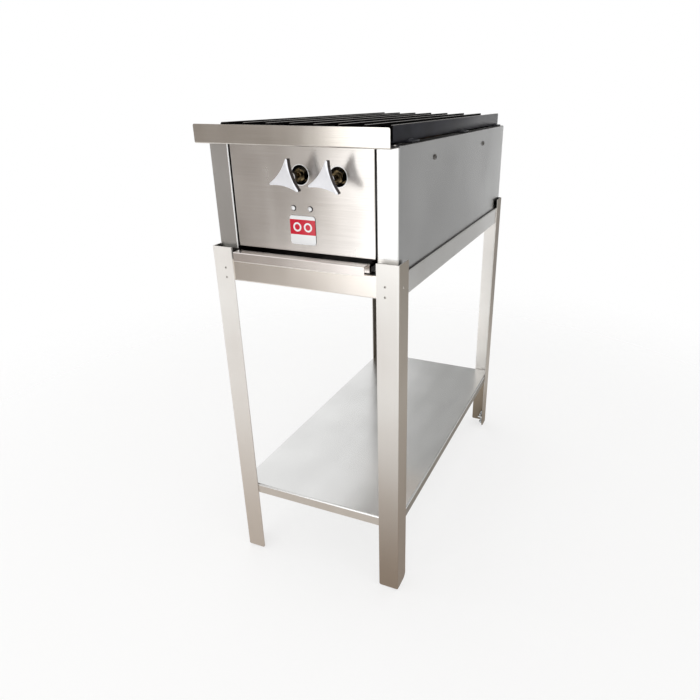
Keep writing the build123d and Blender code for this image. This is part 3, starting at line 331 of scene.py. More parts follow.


# Lower shelf: a pan of 1.2 mm stainless with four turned-down edges, let in between the legs. It is brushed
# from front to back, so what it reflects spreads sideways in soft bands. Its turned-down edges are painted
# darker, and its two sides darker still, as painted shade.

shelf_low, edge_top = 150, 174.6
side_start, side_end = 179.9, 182
shelf_edge_shade = ((-200, -400, shelf_low), (200, 400, edge_top), "#c2b9af")
shelf_left_shade = ((-side_end, -400, shelf_low), (-side_start, 400, edge_top), "#8d857a")
shelf_right_shade = ((side_start, -400, shelf_low), (side_end, 400, edge_top), "#8d857a")
shelf_steel = satin_stainless("brushed_stainless_shelf", 1, "#e9e9e8", "#dfdfde", 0.22,
                              [shelf_edge_shade, shelf_left_shade, shelf_right_shade])
dress(shelf_steel, "lower_shelf")


# Levelling feet: zinc-plated steel bolts with round heads, screwed through nuts that are welded on small
# plates in the legs' corners. Turning a bolt sets the height of its leg.

def carve(piece, tool, operation):
    """Adds, cuts or keeps what a second piece covers; the second piece is used up."""
    pick(piece)
    bpy.ops.object.modifier_add(type="BOOLEAN")
    change = piece.modifiers[-1]
    change.operation = operation
    change.solver = "EXACT"
    change.object = tool
    bpy.ops.object.modifier_apply(modifier=change.name)
    bpy.data.objects.remove(tool)


def hexed(name, half_section, flats):
    """A turned piece cut to six flats wherever it is wider than they are, as from hexagon bar."""
    piece = turned(name, half_section, 48)
    heights = [height for radius, height in half_section]
    bpy.ops.mesh.primitive_cylinder_add(
        vertices=6, radius=flats / math.sqrt(3) * mm, depth=(max(heights) - min(heights) + 2) * mm,
        location=(0, 0, (max(heights) + min(heights)) / 2 * mm))
    carve(piece, bpy.context.active_object, "INTERSECT")
    return piece


def hex_nut(name, flats, height, bore):
    """A nut with both its faces chamfered."""
    corner, face, chamfer = flats / math.sqrt(3), flats * 0.48, 0.6
    ring = [(bore, 0), (face, 0), (corner, chamfer)]
    ring += [(corner, height - chamfer), (face, height), (bore, height), (bore, 0)]
    return hexed(name, ring, flats)


def thread(radius, depth, pitch, start, end):
    """Crests and roots of a screw thread as points of a half section."""
    turns = int((end - start) / pitch)
    shape = ((0.1, depth), (0.4, 0), (0.6, 0), (0.9, depth))
    return [(radius - drop, start + (turn + step) * pitch) for turn in range(turns) for step, drop in shape]


def plated(name, pale, deep, roughness, patch):
    """Metal with a thin bright plating or a turned skin: small soft patches of tone, of this size in mm."""
    material, tree, place, surface = new_material(name)
    spots = noise(tree, place, patch * mm, 3.0)
    tint = blend(tree, ramp(tree, spots, 0.38, 0.62), deep, pale)
    gloss = ramp(tree, spots, 0.0, 1.0, roughness - 0.08, roughness + 0.08)
    coat(tree, surface, {"Base Color": tint, "Metallic": 1.0, "Roughness": gloss})
    return material


# Bright zinc has a bluish shine that comes and goes in small patches.
zinc = plated("bright_zinc_plate", "#d5d8da", "#aeb2b5", 0.3, 4.0)
foot_inset, bracket_top = 10, 25
foot_places = {}
for corner in leg_looks:
    side = 1 if "right" in corner else -1
    face = 1 if "rear" in corner else -1
    foot_y = rear_y - foot_inset if face > 0 else front_y + foot_inset
    foot_places[corner] = (side * (half_width - foot_inset), foot_y)
head = [(0, 0), (5.5, 0), (6.2, 0.3), (6.5, 1.0), (6.5, 5.0), (6.2, 5.7), (5.5, 6.0), (3.5, 6.0)]
foot_section = head + thread(4.0, 0.6, 1.25, 6.2, 39.0) + [(3.0, 40.0), (0, 40.0)]
for corner, (foot_x, foot_y) in foot_places.items():
    foot = set_out("levelling_bolt_" + corner, turned("foot_pattern", foot_section, 32),
                   [((foot_x, foot_y, 0), (0, 0, 1))])
    finished(foot, zinc, "foot_" + corner, "zinc", "levelling_foot_" + corner)
foot_nuts = set_out("welded_foot_nuts", hex_nut("foot_nut_pattern", 13, 6.5, 4.05),
                    [((foot_x, foot_y, bracket_top), (0, 0, 1)) for foot_x, foot_y in foot_places.values()])
finished(foot_nuts, zinc, "stove", "zinc", "foot_nuts")
dress(shelf_steel, "foot_brackets")


# Casing: side panels whose front edges fold round into posts, a back panel, a front control panel and a ledge
# with an upturned lip, all folded from 1.2 mm stainless and riveted together. Brushing gives each a soft
# shine drawn out across its fine lines; inside, the casing is painted dull and dark, as soot and as painted
# shade, and so are the ledge's channel and the slot of the tray.

# Painted shade with soot: inside the casing, on the top flanges under the grate and in the tray's slot.
side_panels_inner_shade = ((-174.4, -338.0, 672.5), (174.4, 374.1, 872.0), soot_and_shade_tone)
# Painted highlight: the foot of the right post is painted near white and matt.
post_foot_highlight = ((134, -349.5, 670), (176, -347.6, 695.6), "#fbf8f3")
tray_slot_shade = ((-150, -349.5, 670), (150, -337, 688.5), soot_and_shade_tone)
side_panel_steel = satin_stainless("brushed_stainless_side_panels", 1, "#dededd", "#d2d2d1", 0.24,
                                   [side_panels_inner_shade, post_foot_highlight, tray_slot_shade], across=(0, 0, 1))
valve_z = 822.0
valve_xs = {"front": 0.0, "rear": 70.0}
valve_hole = 31.75
front_panel_inner_shade = ((-180, -347.0, 660), (180, -300, 880), soot_and_shade_tone)
front_panel_steel = satin_stainless("brushed_stainless_front_panel", 0, "#f3f0ed", "#c8c3be", 0.25,
                                    [front_panel_inner_shade],
                                    rims=[(x, valve_z, valve_hole / 2) for x in valve_xs.values()])
half_sheet = 0.6
back_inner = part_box("back_panel")[1].y / mm - half_sheet
back_panel_inner_shade = ((-180, -350, 660), (180, back_inner, 880), soot_and_shade_tone)
back_panel_steel = satin_stainless("brushed_stainless_back_panel", 0, "#d9d8d5", "#cecdc9", 0.24,
                                   [back_panel_inner_shade])
ledge_channel_shade = ((-174.0, -382.7, 869.6), (174.0, -320.0, 898.4), soot_and_shade_tone)
ledge_steel = satin_stainless("brushed_stainless_ledge", 0, "#eeeae4", "#c2bcb4", 0.2, [ledge_channel_shade])
# The tray's runners are painted black and half matt, as burnt grease and as painted shade.
runner_steel = satin_stainless("steel_black_with_grease_and_shade", 1, "#302b28", "#1e1b19", 0.5)
dress(side_panel_steel, "left_side_panel", "right_side_panel")
dress(runner_steel, "tray_runner_left", "tray_runner_right")
dress(front_panel_steel, "front_panel")
dress(back_panel_steel, "back_panel")
dress(ledge_steel, "front_ledge")


# Rivets, screws and nuts of the casing: blind steel rivets at the ledge and the back panel, and zinc-plated
# hexagon screws up through the side rails, with nuts inside.

casing_half, casing_front, casing_rear, casing_top = 175.0, -348.65, 374.65, 871.4
rivet_inset, post_rivet_inset, panel_fold_top = 8, 10, 870.2
rivet_y = casing_front + rivet_inset
casing_rivet_places = []
for side in (-1, 1):
    casing_rivet_places.append(((side * (casing_half - post_rivet_inset), rivet_y, casing_top), (0, 0, 1)))
    for rivet_z in (711.0, 831.4):
        casing_rivet_places.append(((side * (casing_half - rivet_inset), casing_rear, rivet_z), (0, 1, 0)))
for rivet_x in (-90, 0, 90):
    casing_rivet_places.append(((rivet_x, rivet_y, panel_fold_top), (0, 0, 1)))
casing_rivets = set_out("casing_blind_rivets", blind_rivet("casing_rivet_pattern", 2.4), casing_rivet_places)
finished(casing_rivets, rivet_steel, "stove", "stainless", "casing_rivets")
casing_pins = set_out("casing_rivet_pins", rivet_pin("casing_pin_pattern"), casing_rivet_places)
finished(casing_pins, pin_steel, "stove", "stainless", "casing_rivets")
screw_head = [(0, -3.0), (3.6, -3.0), (4.62, -2.5), (4.62, 0), (2.5, 0)]
screw_section = screw_head + thread(2.5, 0.4, 0.8, 0.2, 9.0) + [(1.9, 9.2), (0, 9.2)]
casing_screw = hexed("casing_screw_pattern", screw_section, 8)
screw_inset, screw_from_end, head_seat, nut_seat = 13.5, 150, 669.5, 672.2
screw_spots = [(side * (casing_half - screw_inset), end)
               for side in (-1, 1) for end in (front_y + screw_from_end, rear_y - screw_from_end)]
casing_screws = set_out("casing_hexagon_screws", casing_screw,
                        [((x, y, head_seat), (0, 0, 1)) for x, y in screw_spots])
finished(casing_screws, zinc, "stove", "zinc", "casing_screws")
casing_nuts = set_out("casing_screw_nuts", hex_nut("casing_nut_pattern", 8, 4, 2.55),
                      [((x, y, nut_seat), (0, 0, 1)) for x, y in screw_spots])
finished(casing_nuts, zinc, "stove", "zinc", "casing_nuts")


# Badge plate: a small white enamelled steel plate stuck on the control panel, its corners and edge rounded.
# It carries a plain red band with two white rings, one for each burner.

def block(name, low, high):
    """A plain block between two corners in mm, its edges still sharp."""
    middle = [(first + last) / 2 * mm for first, last in zip(low, high)]
    size = [(last - first) * mm for first, last in zip(low, high)]
    bpy.ops.mesh.primitive_cube_add(size=1, location=middle, scale=size)
    piece = bpy.context.active_object
    piece.name = name
    bpy.ops.object.transform_apply(location=True, rotation=True, scale=True)
    return piece


def round_edges(piece, wanted, width, steps):
    """Bevels the edges of a piece whose two ends pass a test."""
    bpy.ops.object.mode_set(mode="EDIT")
    bpy.ops.mesh.select_mode(type="EDGE")
    bpy.ops.mesh.select_all(action="DESELECT")
    bpy.ops.object.mode_set(mode="OBJECT")
    for edge in piece.data.edges:
        edge.select = wanted(*(piece.data.vertices[index].co for index in edge.vertices))
    bpy.ops.object.mode_set(mode="EDIT")
    bpy.ops.mesh.bevel(offset=width, segments=steps)
    bpy.ops.mesh.select_mode(type="VERT")
    bpy.ops.object.mode_set(mode="OBJECT")


badge_low, badge_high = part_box("badge_plate")
badge_size = badge_high - badge_low
badge_middle = (badge_low + badge_high) / 2
badge_corner, badge_edge = 5 * mm, 0.6 * mm
badge = block("enamelled_badge_plate", badge_low / mm, badge_high / mm)
round_edges(badge, lambda first, last: abs(first.y - last.y) > badge_size.y / 2, badge_corner, 8)
badge_face = badge_low.y + 0.01 * mm
round_edges(badge, lambda first, last: first.y < badge_face and last.y < badge_face, badge_edge, 3)

# Fired enamel has a hard gloss with a faint ripple; the plate's edge is painted dark as shade. The sizes of
# the print are shares of half the plate's width.
enamel, tree, place, surface = new_material("printed_enamel_badge")
enamel_white, enamel_red = "#f4f5f6", "#cf1531"
band_middle, band_half = 0.22, 0.52
ring_offset, ring_radius, ring_half_line = 0.42, 0.26, 0.06
half = badge_size.x / 2
centred = add_node(tree, "ShaderNodeMapping", {
    "Vector": place, "Location": -badge_middle / half, "Scale": [1 / half] * 3}).outputs["Vector"]
height = add_node(tree, "ShaderNodeSeparateXYZ", {0: centred}).outputs["Z"]
band = work_out(tree, "COMPARE", height, band_middle, band_half)
paint = blend(tree, band, enamel_white, enamel_red)
flat = add_node(tree, "ShaderNodeVectorMath", {0: centred, 1: (1, 0, 1)}, operation="MULTIPLY")
for ring_x in (-ring_offset, ring_offset):
    reach = add_node(tree, "ShaderNodeVectorMath", {0: flat.outputs["Vector"], 1: (ring_x, 0, band_middle)},
                     operation="DISTANCE")
    ring = work_out(tree, "COMPARE", reach.outputs["Value"], ring_radius, ring_half_line)
    paint = blend(tree, ring, paint, enamel_white)
badge_edge_shade = inside_box(tree, place, (-60, badge_low.y / mm + 0.4, 600), (60, badge_high.y / mm + 1, 900))
paint = blend(tree, badge_edge_shade, paint, "#2b2927")
glaze = bump(tree, noise(tree, place, 3 * mm, 2.0), 0.08, 0.2 * mm)
coat(tree, surface, {"Base Color": paint, "Roughness": 0.25, "Normal": glaze})
finished(badge, enamel, "stove", "badge", "badge_plate")


# Burner supports: bent steel straps across the casing, stained by the heat and darkened as painted shade,
# each held by a pan-headed screw with a cross recess through either side panel and a nut inside.

# Heat has stained the bare steel brown and taken its shine; its dark tone is also painted shade inside the
# casing.
heated_and_shaded_steel = satin_stainless("heat_stained_and_shaded_steel", 0, "#6d655d", "#473f39", 0.45)
dress(heated_and_shaded_steel, "burner_support_front", "burner_support_rear", "manifold_clamp")
pan = [(0, 3.0), (2.2, 2.9), (3.6, 2.5), (4.5, 1.7), (5.0, 0.7), (5.0, 0.0), (2.5, 0.0)]
screw_section = pan + thread(2.5, 0.4, 0.8, -9.8, -0.2)[::-1] + [(0, -10.0)]
support_screw = turned("support_screw_pattern", screw_section, 32)
recess_half_length, recess_half_width, recess_floor, recess_open = 2.5, 0.6, 1.3, 3.9
recess_arms = ((recess_half_length, recess_half_width), (recess_half_width, recess_half_length))
for half_x, half_y in recess_arms:
    cutter = block("cross_recess", (-half_x, -half_y, recess_floor), (half_x, half_y, recess_open))
    carve(support_screw, cutter, "DIFFERENCE")
support_ys = (-177.35, 166.65)
support_z, support_nut_x = 842, 170.8
support_places = [(side, y) for side in (-1, 1) for y in support_ys]
support_screws = set_out("support_pan_screws", support_screw,
                         [((side * casing_half, y, support_z), (side, 0, 0)) for side, y in support_places])
# Old nickel plate is grey with dark patches and a sharp shine where it still holds.
screw_steel = plated("dulled_nickel_screws", "#8f8c88", "#2b2927", 0.25, 2.5)
finished(support_screws, screw_steel, "stove", "zinc", "support_screws")
support_nuts = set_out("support_screw_nuts", hex_nut("support_nut_pattern", 8, 4, 2.55),
                       [((side * support_nut_x, y, support_z), (-side, 0, 0)) for side, y in support_places])
finished(support_nuts, zinc, "stove", "zinc", "support_nuts")


# Burners: grey iron castings with a ring of ports, a mixing tube and a mouth, rough from the sand mould and
# rusty in places. Their air shutters are small steel discs locked by a screw.

def cast_metal(name, pale, deep, metallic, roughness, grit):
    """A sand casting: a grainy skin with grains of this size in mm, and patches of tone ten times as wide."""
    material, tree, place, surface = new_material(name)
    grains = noise(tree, place, grit * mm, 3.0)
    patches = noise(tree, place, 10 * grit * mm, 4.0)
    tint = blend(tree, ramp(tree, patches, 0.35, 0.65), deep, pale)
    gloss = ramp(tree, grains, 0.0, 1.0, roughness - 0.08, roughness + 0.08)
    coat(tree, surface, {"Base Color": tint, "Metallic": metallic, "Roughness": gloss,
                         "Normal": bump(tree, grains, 0.35, 0.4 * mm)})
    return material


# Grey iron from a sand mould is dark and grainy, browned by rust in patches.
cast_iron = cast_metal("sand_cast_grey_iron", "#55463b", "#33302e", 0.4, 0.7, 1.5)
dress(cast_iron, "burner_front", "burner_rear")
dress(heated_and_shaded_steel, "air_shutter_front", "air_shutter_rear")
dress(zinc, "shutter_screws")


# Gas pipes: half inch steel pipe and an elbow, painted black, with a brass inlet at the rear left whose
# hexagon and male thread take the hose.

# Brushed-on enamel is a deep black with a low gloss. Brass goes brown and dull in the air; inside the casing
# it is painted nearly black, as soot and as painted shade, where only edges still glint.
pipe_paint = cast_metal("black_enamel_on_pipe", "#2b2b2c", "#1c1c1d", 0.0, 0.4, 3.0)
dress(pipe_paint, "gas_manifold", "manifold_plug", "inlet_elbow", "inlet_pipe")
brass = plated("turned_brass_dulled", "#a68a55", "#4a3a1e", 0.3, 5.0)
shaded_brass = plated("brass_darkened_by_soot_and_shade", "#75664c", "#060504", 0.2, 7.0)
inlet_section = [(10.7, 0), (13.2, 0), (15.58, 1.2), (15.58, 4.8), (13.2, 6.0), (9.5, 6.0)]
inlet_section += thread(10.5, 0.9, 1.8, 6.2, 21.8)
inlet_section += [(9.4, 22.0), (8.0, 22.0), (8.0, 3.0), (10.7, 3.0), (10.7, 0)]
inlet_place = (-140.0, 373.65, 788.0)
inlet = set_out("threaded_gas_inlet", hexed("inlet_pattern", inlet_section, 27), [(inlet_place, (0, 1, 0))])
finished(inlet, brass, "stove", "brass", "inlet_fitting")


# Pipe clamp: a bent steel strap that hangs the manifold behind the control panel, held by two zinc-plated
# bolts whose polished dome heads show on the panel.

bolt_xs = (-16, 16)
bolt_z, bolt_seat, clamp_back = 767.7, -347.65, -344.45
dome = [(0, 4.0), (1.4, 3.8), (2.7, 3.2), (3.8, 2.3), (4.6, 1.2), (5.0, 0.3), (5.0, 0.0), (2.4, 0.0)]
clamp_bolt = turned("clamp_bolt_pattern", dome + thread(2.4, 0.4, 0.8, -9.4, -0.2)[::-1] + [(0, -9.6)], 32)
clamp_bolts = set_out("clamp_dome_bolts", clamp_bolt, [((x, bolt_seat, bolt_z), (0, -1, 0)) for x in bolt_xs])
# Polished zinc is almost white; a dark line round the foot of each dome is painted shade.
dome_foot_shade = ((-30, -349.6, 750), (30, -347, 785), "#2b2724")
bright_zinc = satin_stainless("polished_zinc_domes", 0, "#fdfdfd", "#eff0f1", 0.42, [dome_foot_shade])
finished(clamp_bolts, bright_zinc, "stove", "zinc", "clamp_bolts")
clamp_nuts = set_out("clamp_bolt_nuts", hex_nut("clamp_nut_pattern", 8, 4, 2.45),
                     [((x, clamp_back, bolt_z), (0, 1, 0)) for x in bolt_xs])
finished(clamp_nuts, zinc, "stove", "zinc", "clamp_nuts")


# Gas valves: turned brass bodies screwed into the manifold, each with a hexagon bonnet that reaches out
# through its hole in the panel, a stem for the knob and a jet that blows into the burner's mouth.

dress(shaded_brass, "valve_body_front", "valve_body_rear", "orifice_spuds")
dress(shaded_brass, "valve_stem_front", "valve_stem_rear")
bonnet_seat = -335.35
bonnet_section = [(4.05, -5), (7.95, -5), (7.95, 0), (9.8, 0), (11.54, 1.0), (11.54, 15.3), (9.8, 16.3)]
bonnet_section += [(7.5, 16.3), (7.5, 17.2), (6.9, 17.5), (6.9, 18.3), (7.5, 18.6), (7.5, 21.4), (6.6, 22.3)]
bonnet_section += [(4.7, 22.3), (4.05, 21.6), (4.05, -5)]
bonnets = set_out("valve_bonnet_nuts", hexed("bonnet_pattern", bonnet_section, 20),
                  [((x, bonnet_seat, valve_z), (0, -1, 0)) for x in valve_xs.values()])
finished(bonnets, shaded_brass, "stove", "brass", "valve_bonnets")


# Knobs: aluminium castings with three points and slightly hollow sides, their faces ground and tumbled, a
# round hub behind and a blackened set screw down on the flat of the valve stem.

knob_front_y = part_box("knob_front")[0].y / mm
# The ground faces are white and satin with shallow pits; the sides are painted dark, as the skin of the
# mould and as painted shade.
cast_aluminium, tree, place, surface = new_material("cast_aluminium_with_ground_faces")
knob_sides_skin_and_shade = inside_box(tree, place, (-100, knob_front_y + 1.0, 700), (200, knob_front_y + 9.6, 900))
pits = noise(tree, place, 6 * mm, 3.0)
knob_tint = blend(tree, knob_sides_skin_and_shade, blend(tree, pits, "#eceef3", "#fafbff"), "#393231")
coat(tree, surface, {"Base Color": knob_tint, "Metallic": 0.6, "Roughness": 0.4,
                     "Normal": bump(tree, pits, 0.12, 0.3 * mm)})
# Steel blackened in oil is dark grey with a low shine.
dark_steel = plated("oil_blackened_steel_screws", "#6f6c68", "#3d3b39", 0.35, 2.0)
dress(dark_steel, "knob_screw_front", "knob_screw_rear")
tip_round, tip_distance, waist, plate_thickness = 2.0, 28.0, 12.2, 10.0
inner_waist = waist - tip_round
hollow_distance = (tip_distance**2 - inner_waist**2) / (2 * (tip_distance / 2 - inner_waist))
hollow_radius = hollow_distance - waist
first_tip = 80
tip_to_hollow = Vector((hollow_distance / 2 - tip_distance, hollow_distance * math.sqrt(3) / 2)).normalized()
tip_end = Vector((tip_distance, 0)) + tip_to_hollow * tip_round
tip_end_angle = math.atan2(tip_end.y, tip_end.x)


def knob_reach(angle):
    """How far the knob's outline is from its middle at an angle in degrees."""
    from_tip = abs(math.radians((angle - first_tip + 60) % 120 - 60))
    if from_tip < tip_end_angle:
        inside = tip_round**2 - (tip_distance * math.sin(from_tip))**2
        return tip_distance * math.cos(from_tip) + math.sqrt(inside)
    from_hollow = math.pi / 3 - from_tip
    inside = hollow_radius**2 - (hollow_distance * math.sin(from_hollow))**2
    return hollow_distance * math.cos(from_hollow) - math.sqrt(inside)


bpy.ops.mesh.primitive_circle_add(vertices=360, radius=1, fill_type="NGON")
knob = bpy.context.active_object
for vertex in knob.data.vertices:
    reach = knob_reach(math.degrees(math.atan2(vertex.co.y, vertex.co.x))) * mm
    vertex.co = vertex.co.normalized() * reach
bpy.ops.object.mode_set(mode="EDIT")
bpy.ops.mesh.select_all(action="SELECT")
bpy.ops.mesh.extrude_region_move(TRANSFORM_OT_translate={"value": (0, 0, plate_thickness * mm)})
bpy.ops.mesh.select_all(action="SELECT")
bpy.ops.mesh.normals_make_consistent(inside=False)
bpy.ops.object.mode_set(mode="OBJECT")
knob_face, just_off = plate_thickness * mm, 0.001 * mm
face_round, back_round = 0.9 * mm, 0.5 * mm
round_edges(knob, lambda first, last: min(first.z, last.z) > knob_face - just_off, face_round, 3)
round_edges(knob, lambda first, last: max(first.z, last.z) < just_off, back_round, 3)
hub_section = [(4.1, -10), (7.3, -10), (8.0, -9.3), (8.0, -1.6), (8.4, -0.7)]
hub_section += [(9.6, 0.0), (9.6, 0.8), (4.1, 0.8), (4.1, -10)]
carve(knob, turned("knob_hub", hub_section, 48), "UNION")
screw_hole, screw_hole_depth, screw_hole_place = 2.05 * mm, 7 * mm, (0, 6.5 * mm, -5 * mm)
bpy.ops.mesh.primitive_cylinder_add(vertices=24, radius=screw_hole, depth=screw_hole_depth,
                                    location=screw_hole_place, rotation=(math.pi / 2, 0, 0))
carve(knob, bpy.context.active_object, "DIFFERENCE")
for name, valve_x in valve_xs.items():
    knob_pattern = knob.copy()
    knob_pattern.data = knob.data.copy()
    bpy.context.collection.objects.link(knob_pattern)
    knob_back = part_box("knob_" + name)[0].y / mm + plate_thickness
    cast_knob = set_out("cast_knob_" + name, knob_pattern, [((valve_x, knob_back, valve_z), (0, -1, 0))])
    finished(cast_knob, cast_aluminium, name + "_knob", "knob_aluminium", "knob_" + name)
bpy.data.objects.remove(knob)


# Grate: eight flat steel bars on edge, welded on three straps and painted black; it lifts off in one piece.
# The bars have the rounded edges of rolled stock, and the front top corner of each is cut off.

def painted_steel(name, pale, deep, roughness, soot_shade_low, soot_shade_high):
    """Black heat-proof paint on rolled steel: satin, with a slight orange peel, thin and grey in places.
    Inside a box, by two corners in mm, it is painted dead black without shine, as soot from the flames and as
    painted shade between the bars, and above that box the pans have rubbed it through to the bright steel."""
    peel_size, worn_size = 2.5 * mm, 60 * mm
    material, tree, place, surface = new_material(name)
    peel = noise(tree, place, peel_size, 3.0)
    worn = noise(tree, place, worn_size, 5.0, 0.6)
    tint = blend(tree, ramp(tree, worn, 0.4, 0.7), deep, pale)
    gloss = ramp(tree, worn, 0.0, 1.0, roughness - 0.06, roughness + 0.08)
    sooted_and_shaded = inside_box(tree, place, soot_shade_low, soot_shade_high)
    tint = blend(tree, sooted_and_shaded, tint, "#070606")
    gloss = between(tree, sooted_and_shaded, gloss, 0.85)
    sheen = ramp(tree, sooted_and_shaded, 0.0, 1.0, 0.3, 0.03)
    top_edge = inside_box(tree, place, (-200, -400, soot_shade_high[2]), (200, 400, soot_shade_high[2] + 10))
    rubbed_and_highlight = work_out(tree, "MULTIPLY", top_edge, ramp(tree, worn, 0.3, 0.6, 0.25))
    tint = blend(tree, rubbed_and_highlight, tint, "#85807a")
    coat(tree, surface, {"Base Color": tint, "Metallic": rubbed_and_highlight, "Roughness": gloss,
                         "Specular IOR Level": sheen, "Normal": bump(tree, peel, 0.15, 0.3 * mm)})
    return material


bars_low, bars_high = (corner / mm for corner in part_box("grate_bars"))
straps_low, straps_high = (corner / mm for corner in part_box("grate_straps"))
# The bars' inner sides are painted black, as soot and as the shade between them.
soot_shade_side, soot_shade_foot, rubbed_depth = 0.6, 3, 0.45
soot_shade_low = (bars_low.x + soot_shade_side, -400, bars_low.z + soot_shade_foot)
soot_shade_high = (bars_high.x - soot_shade_side, 400, bars_high.z - rubbed_depth)
grate_paint = painted_steel("black_heat_paint", "#2f3037", "#1c1c21", 0.33, soot_shade_low, soot_shade_high)
bar_count, bar_thickness = 8, 4.8
bar = block("grate_bar_pattern", (-bar_thickness / 2, bars_low.y, bars_low.z),
            (bar_thickness / 2, bars_high.y, bars_high.z))
bar_end, bar_top = (bars_low.y + 1) * mm, (bars_high.z - 1) * mm
corner_cut, rolled_edge, strap_edge = 3 * mm, 0.5 * mm, 0.6 * mm
round_edges(bar, lambda first, last: max(first.y, last.y) < bar_end and min(first.z, last.z) > bar_top,
            corner_cut, 1)
round_edges(bar, lambda first, last: True, rolled_edge, 2)
bar_pitch = (bars_high.x - bars_low.x - bar_thickness) / (bar_count - 1)
bar_xs = [bars_low.x + bar_thickness / 2 + step * bar_pitch for step in range(bar_count)]
grate_bars = set_out("grate_flat_bars", bar, [((x, 0, 0), (0, 0, 1)) for x in bar_xs])
finished(grate_bars, grate_paint, "grate", "grate_black", "grate_bars")

strap_width = 38.0
strap_ys = (-257.35, 44.15, 345.65)
strap = block("grate_strap_pattern", (straps_low.x, -strap_width / 2, straps_low.z),
              (straps_high.x, strap_width / 2, straps_high.z))
round_edges(strap, lambda first, last: True, strap_edge, 2)
grate_straps = set_out("grate_cross_straps", strap, [((0, y, 0), (0, 0, 1)) for y in strap_ys])
finished(grate_straps, grate_paint, "grate", "grate_black", "grate_straps")

bead_length, bead_radius, ripple_pitch, bead_steps = 24.0, 2.6, 2.4, 40
bead_section = [(0, -bead_length / 2)]
for step in range(1, bead_steps):
    along = (step / bead_steps - 0.5) * bead_length
    swell = math.sqrt(1 - (2 * along / bead_length)**4)
    wrinkle = 1 + 0.1 * math.cos(2 * math.pi * along / ripple_pitch)
    bead_section.append((bead_radius * swell * wrinkle, along))
bead_section.append((0, bead_length / 2))
bead_places = []
for x in bar_xs:
    for y in strap_ys:
        for side in (-1, 1):
            bead_places.append(((x + side * bar_thickness / 2, y, straps_high.z), (0, 1, 0)))
weld_beads = set_out("grate_weld_beads", turned("weld_bead_pattern", bead_section, 12), bead_places)
finished(weld_beads, grate_paint, "grate", "grate_black", "grate_straps")


# Drip tray: a shallow pan folded from 1 mm stainless, with a front lip to pull it by, sliding on two runners.
# Brushed across, the lip shows a soft upright gleam; the inside is painted dark, as burnt fat and as painted
# shade, and a painted highlight runs along the lip's lower edge.

burnt_and_shaded_pan = ((-124.5, -357.5, 673.3), (124.5, 364.1, 690), soot_and_shade_tone)
lip_edge_highlight = ((-130, -380, 671.5), (130, -376, 673.2), "#f6f2ec")
tray_steel = satin_stainless("brushed_stainless_tray", 0, "#efe9e5", "#e2dbd7", 0.2, [burnt_and_shaded_pan, lip_edge_highlight])
dress(tray_steel, "drip_tray")


# Floor: a round of pale matt paper laid flat under the stove. It keeps the stove's soft shadow, and fades
# into the white of the studio so that no edge of it shows.

bpy.ops.mesh.primitive_circle_add(vertices=96, radius=2.4, fill_type="NGON")
floor = bpy.context.active_object
floor.name = "studio_floor"
floor_paper, tree, place, surface = new_material("pale_paper_floor")
spread = add_node(tree, "ShaderNodeVectorMath", {0: place}, operation="LENGTH").outputs["Value"]
fade = ramp(tree, spread, 0.8, 1.9, easing="SMOOTHSTEP")
paper_tint = blend(tree, noise(tree, place, 3 * mm, 2.0), "#fbfaf8", "#ffffff")
paper = add_node(tree, "ShaderNodeBsdfPrincipled", {"Base Color": paper_tint, "Roughness": 0.9})
# Seen by the camera or in the steel the paper is bleached, as an overexposed backdrop is; it lights the
# stove as plain paper.
ray = add_node(tree, "ShaderNodeLightPath").outputs
mirrored = work_out(tree, "MAXIMUM", ray["Is Glossy Ray"], ray["Is Transmission Ray"])
looked_at = work_out(tree, "MAXIMUM", ray["Is Camera Ray"], mirrored)
bleach_share = 0.65
bleach = work_out(tree, "MULTIPLY", looked_at, bleach_share)
white = add_node(tree, "ShaderNodeEmission", {"Strength": 1.0})
bleached = add_node(tree, "ShaderNodeMixShader",
                    {0: bleach, 1: paper.outputs["BSDF"], 2: white.outputs["Emission"]})
clear = add_node(tree, "ShaderNodeBsdfTransparent")
faded = add_node(tree, "ShaderNodeMixShader",
                 {0: fade, 1: bleached.outputs["Shader"], 2: clear.outputs["BSDF"]})
tree.links.new(faded.outputs["Shader"], surface)
floor.data.materials.append(floor_paper)


# Studio: a plain white room with three boards of matt grey paper that the steel reflects, one in front on the
# left, one behind on the right and one high up behind, and a softbox in front. The camera doesn't see them.

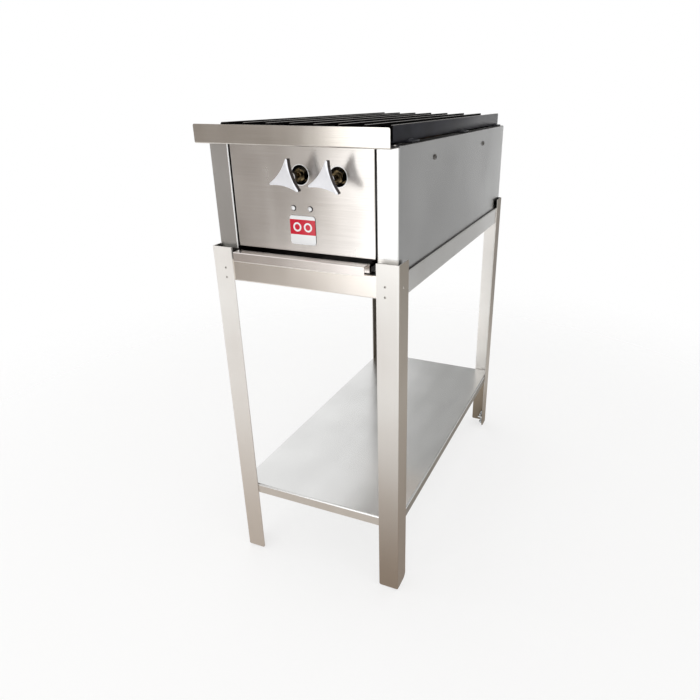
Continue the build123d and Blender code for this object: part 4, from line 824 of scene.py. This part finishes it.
world = bpy.data.worlds.new("white_studio")
bpy.context.scene.world = world
world.use_nodes = True
tree = world.node_tree
tree.nodes.clear()
background = add_node(tree, "ShaderNodeBackground", {"Color": colour("#ffffff"), "Strength": 1.0})
add_node(tree, "ShaderNodeOutputWorld", {"Surface": background.outputs["Background"]})
boards = (
    ("front_left_board", (-3.0, -3.0, 0.3), (0, 0, 0.6), (3.24, 4.6), "#b5afaa"),
    ("rear_right_board", (3.06, 2.78, 0.5), (0, 0, 0.6), (5.9, 6.0), "#a6a6a6"),
    ("high_rear_board", (-0.12, 3.31, 2.41), (0, 0, 0.18), (2.4, 2.4), "#b2b2b1"),
)
for name, spot, target, size, tone in boards:
    bpy.ops.mesh.primitive_plane_add(size=1, location=spot)
    board = bpy.context.active_object
    board.name = name
    board.scale = (*size, 1)
    board.rotation_euler = (Vector(target) - board.location).to_track_quat("Z", "Y").to_euler()
    grey_paper, tree, place, surface = new_material("grey_paper_" + name)
    fibre = noise(tree, place, 25 * mm, 2.0)
    tint = blend(tree, fibre, [part * 0.98 for part in colour(tone)], tone)
    paper = add_node(tree, "ShaderNodeBsdfDiffuse", {"Color": tint})
    tree.links.new(paper.outputs["BSDF"], surface)
    board.data.materials.append(grey_paper)
    board.visible_camera = False

bpy.ops.object.light_add(type="AREA", location=(-0.576, -2.6, 0.75))
softbox = bpy.context.active_object
softbox.name = "front_softbox"
softbox.data.shape = "RECTANGLE"
softbox.data.size = 1.0
softbox.data.size_y = 1.5
softbox.data.energy = 5.5
softbox_target, softbox_lean = Vector((0.1, -0.35, 0.7)), -0.26
softbox.rotation_euler = (softbox_target - softbox.location).to_track_quat("-Z", "Y").to_euler()
softbox.rotation_euler.rotate_axis("Z", softbox_lean)
softbox.visible_camera = False


# Camera: at the photograph's viewing angle, solved from the stove's straight edges. It stands about a metre
# in front and to the right, a little above the grate, and its shift frames the stove as the photograph does.

bpy.ops.object.camera_add(location=(0.5131, -1.20005, 0.9402))
camera = bpy.context.active_object
camera.rotation_euler = (math.radians(66.33), 0, math.radians(22.32))
camera.data.sensor_width = 36.0
camera.data.lens = 29.787
camera.data.shift_x = -0.0601
bpy.context.scene.camera = camera
bpy.context.scene.view_settings.view_transform = "Standard"
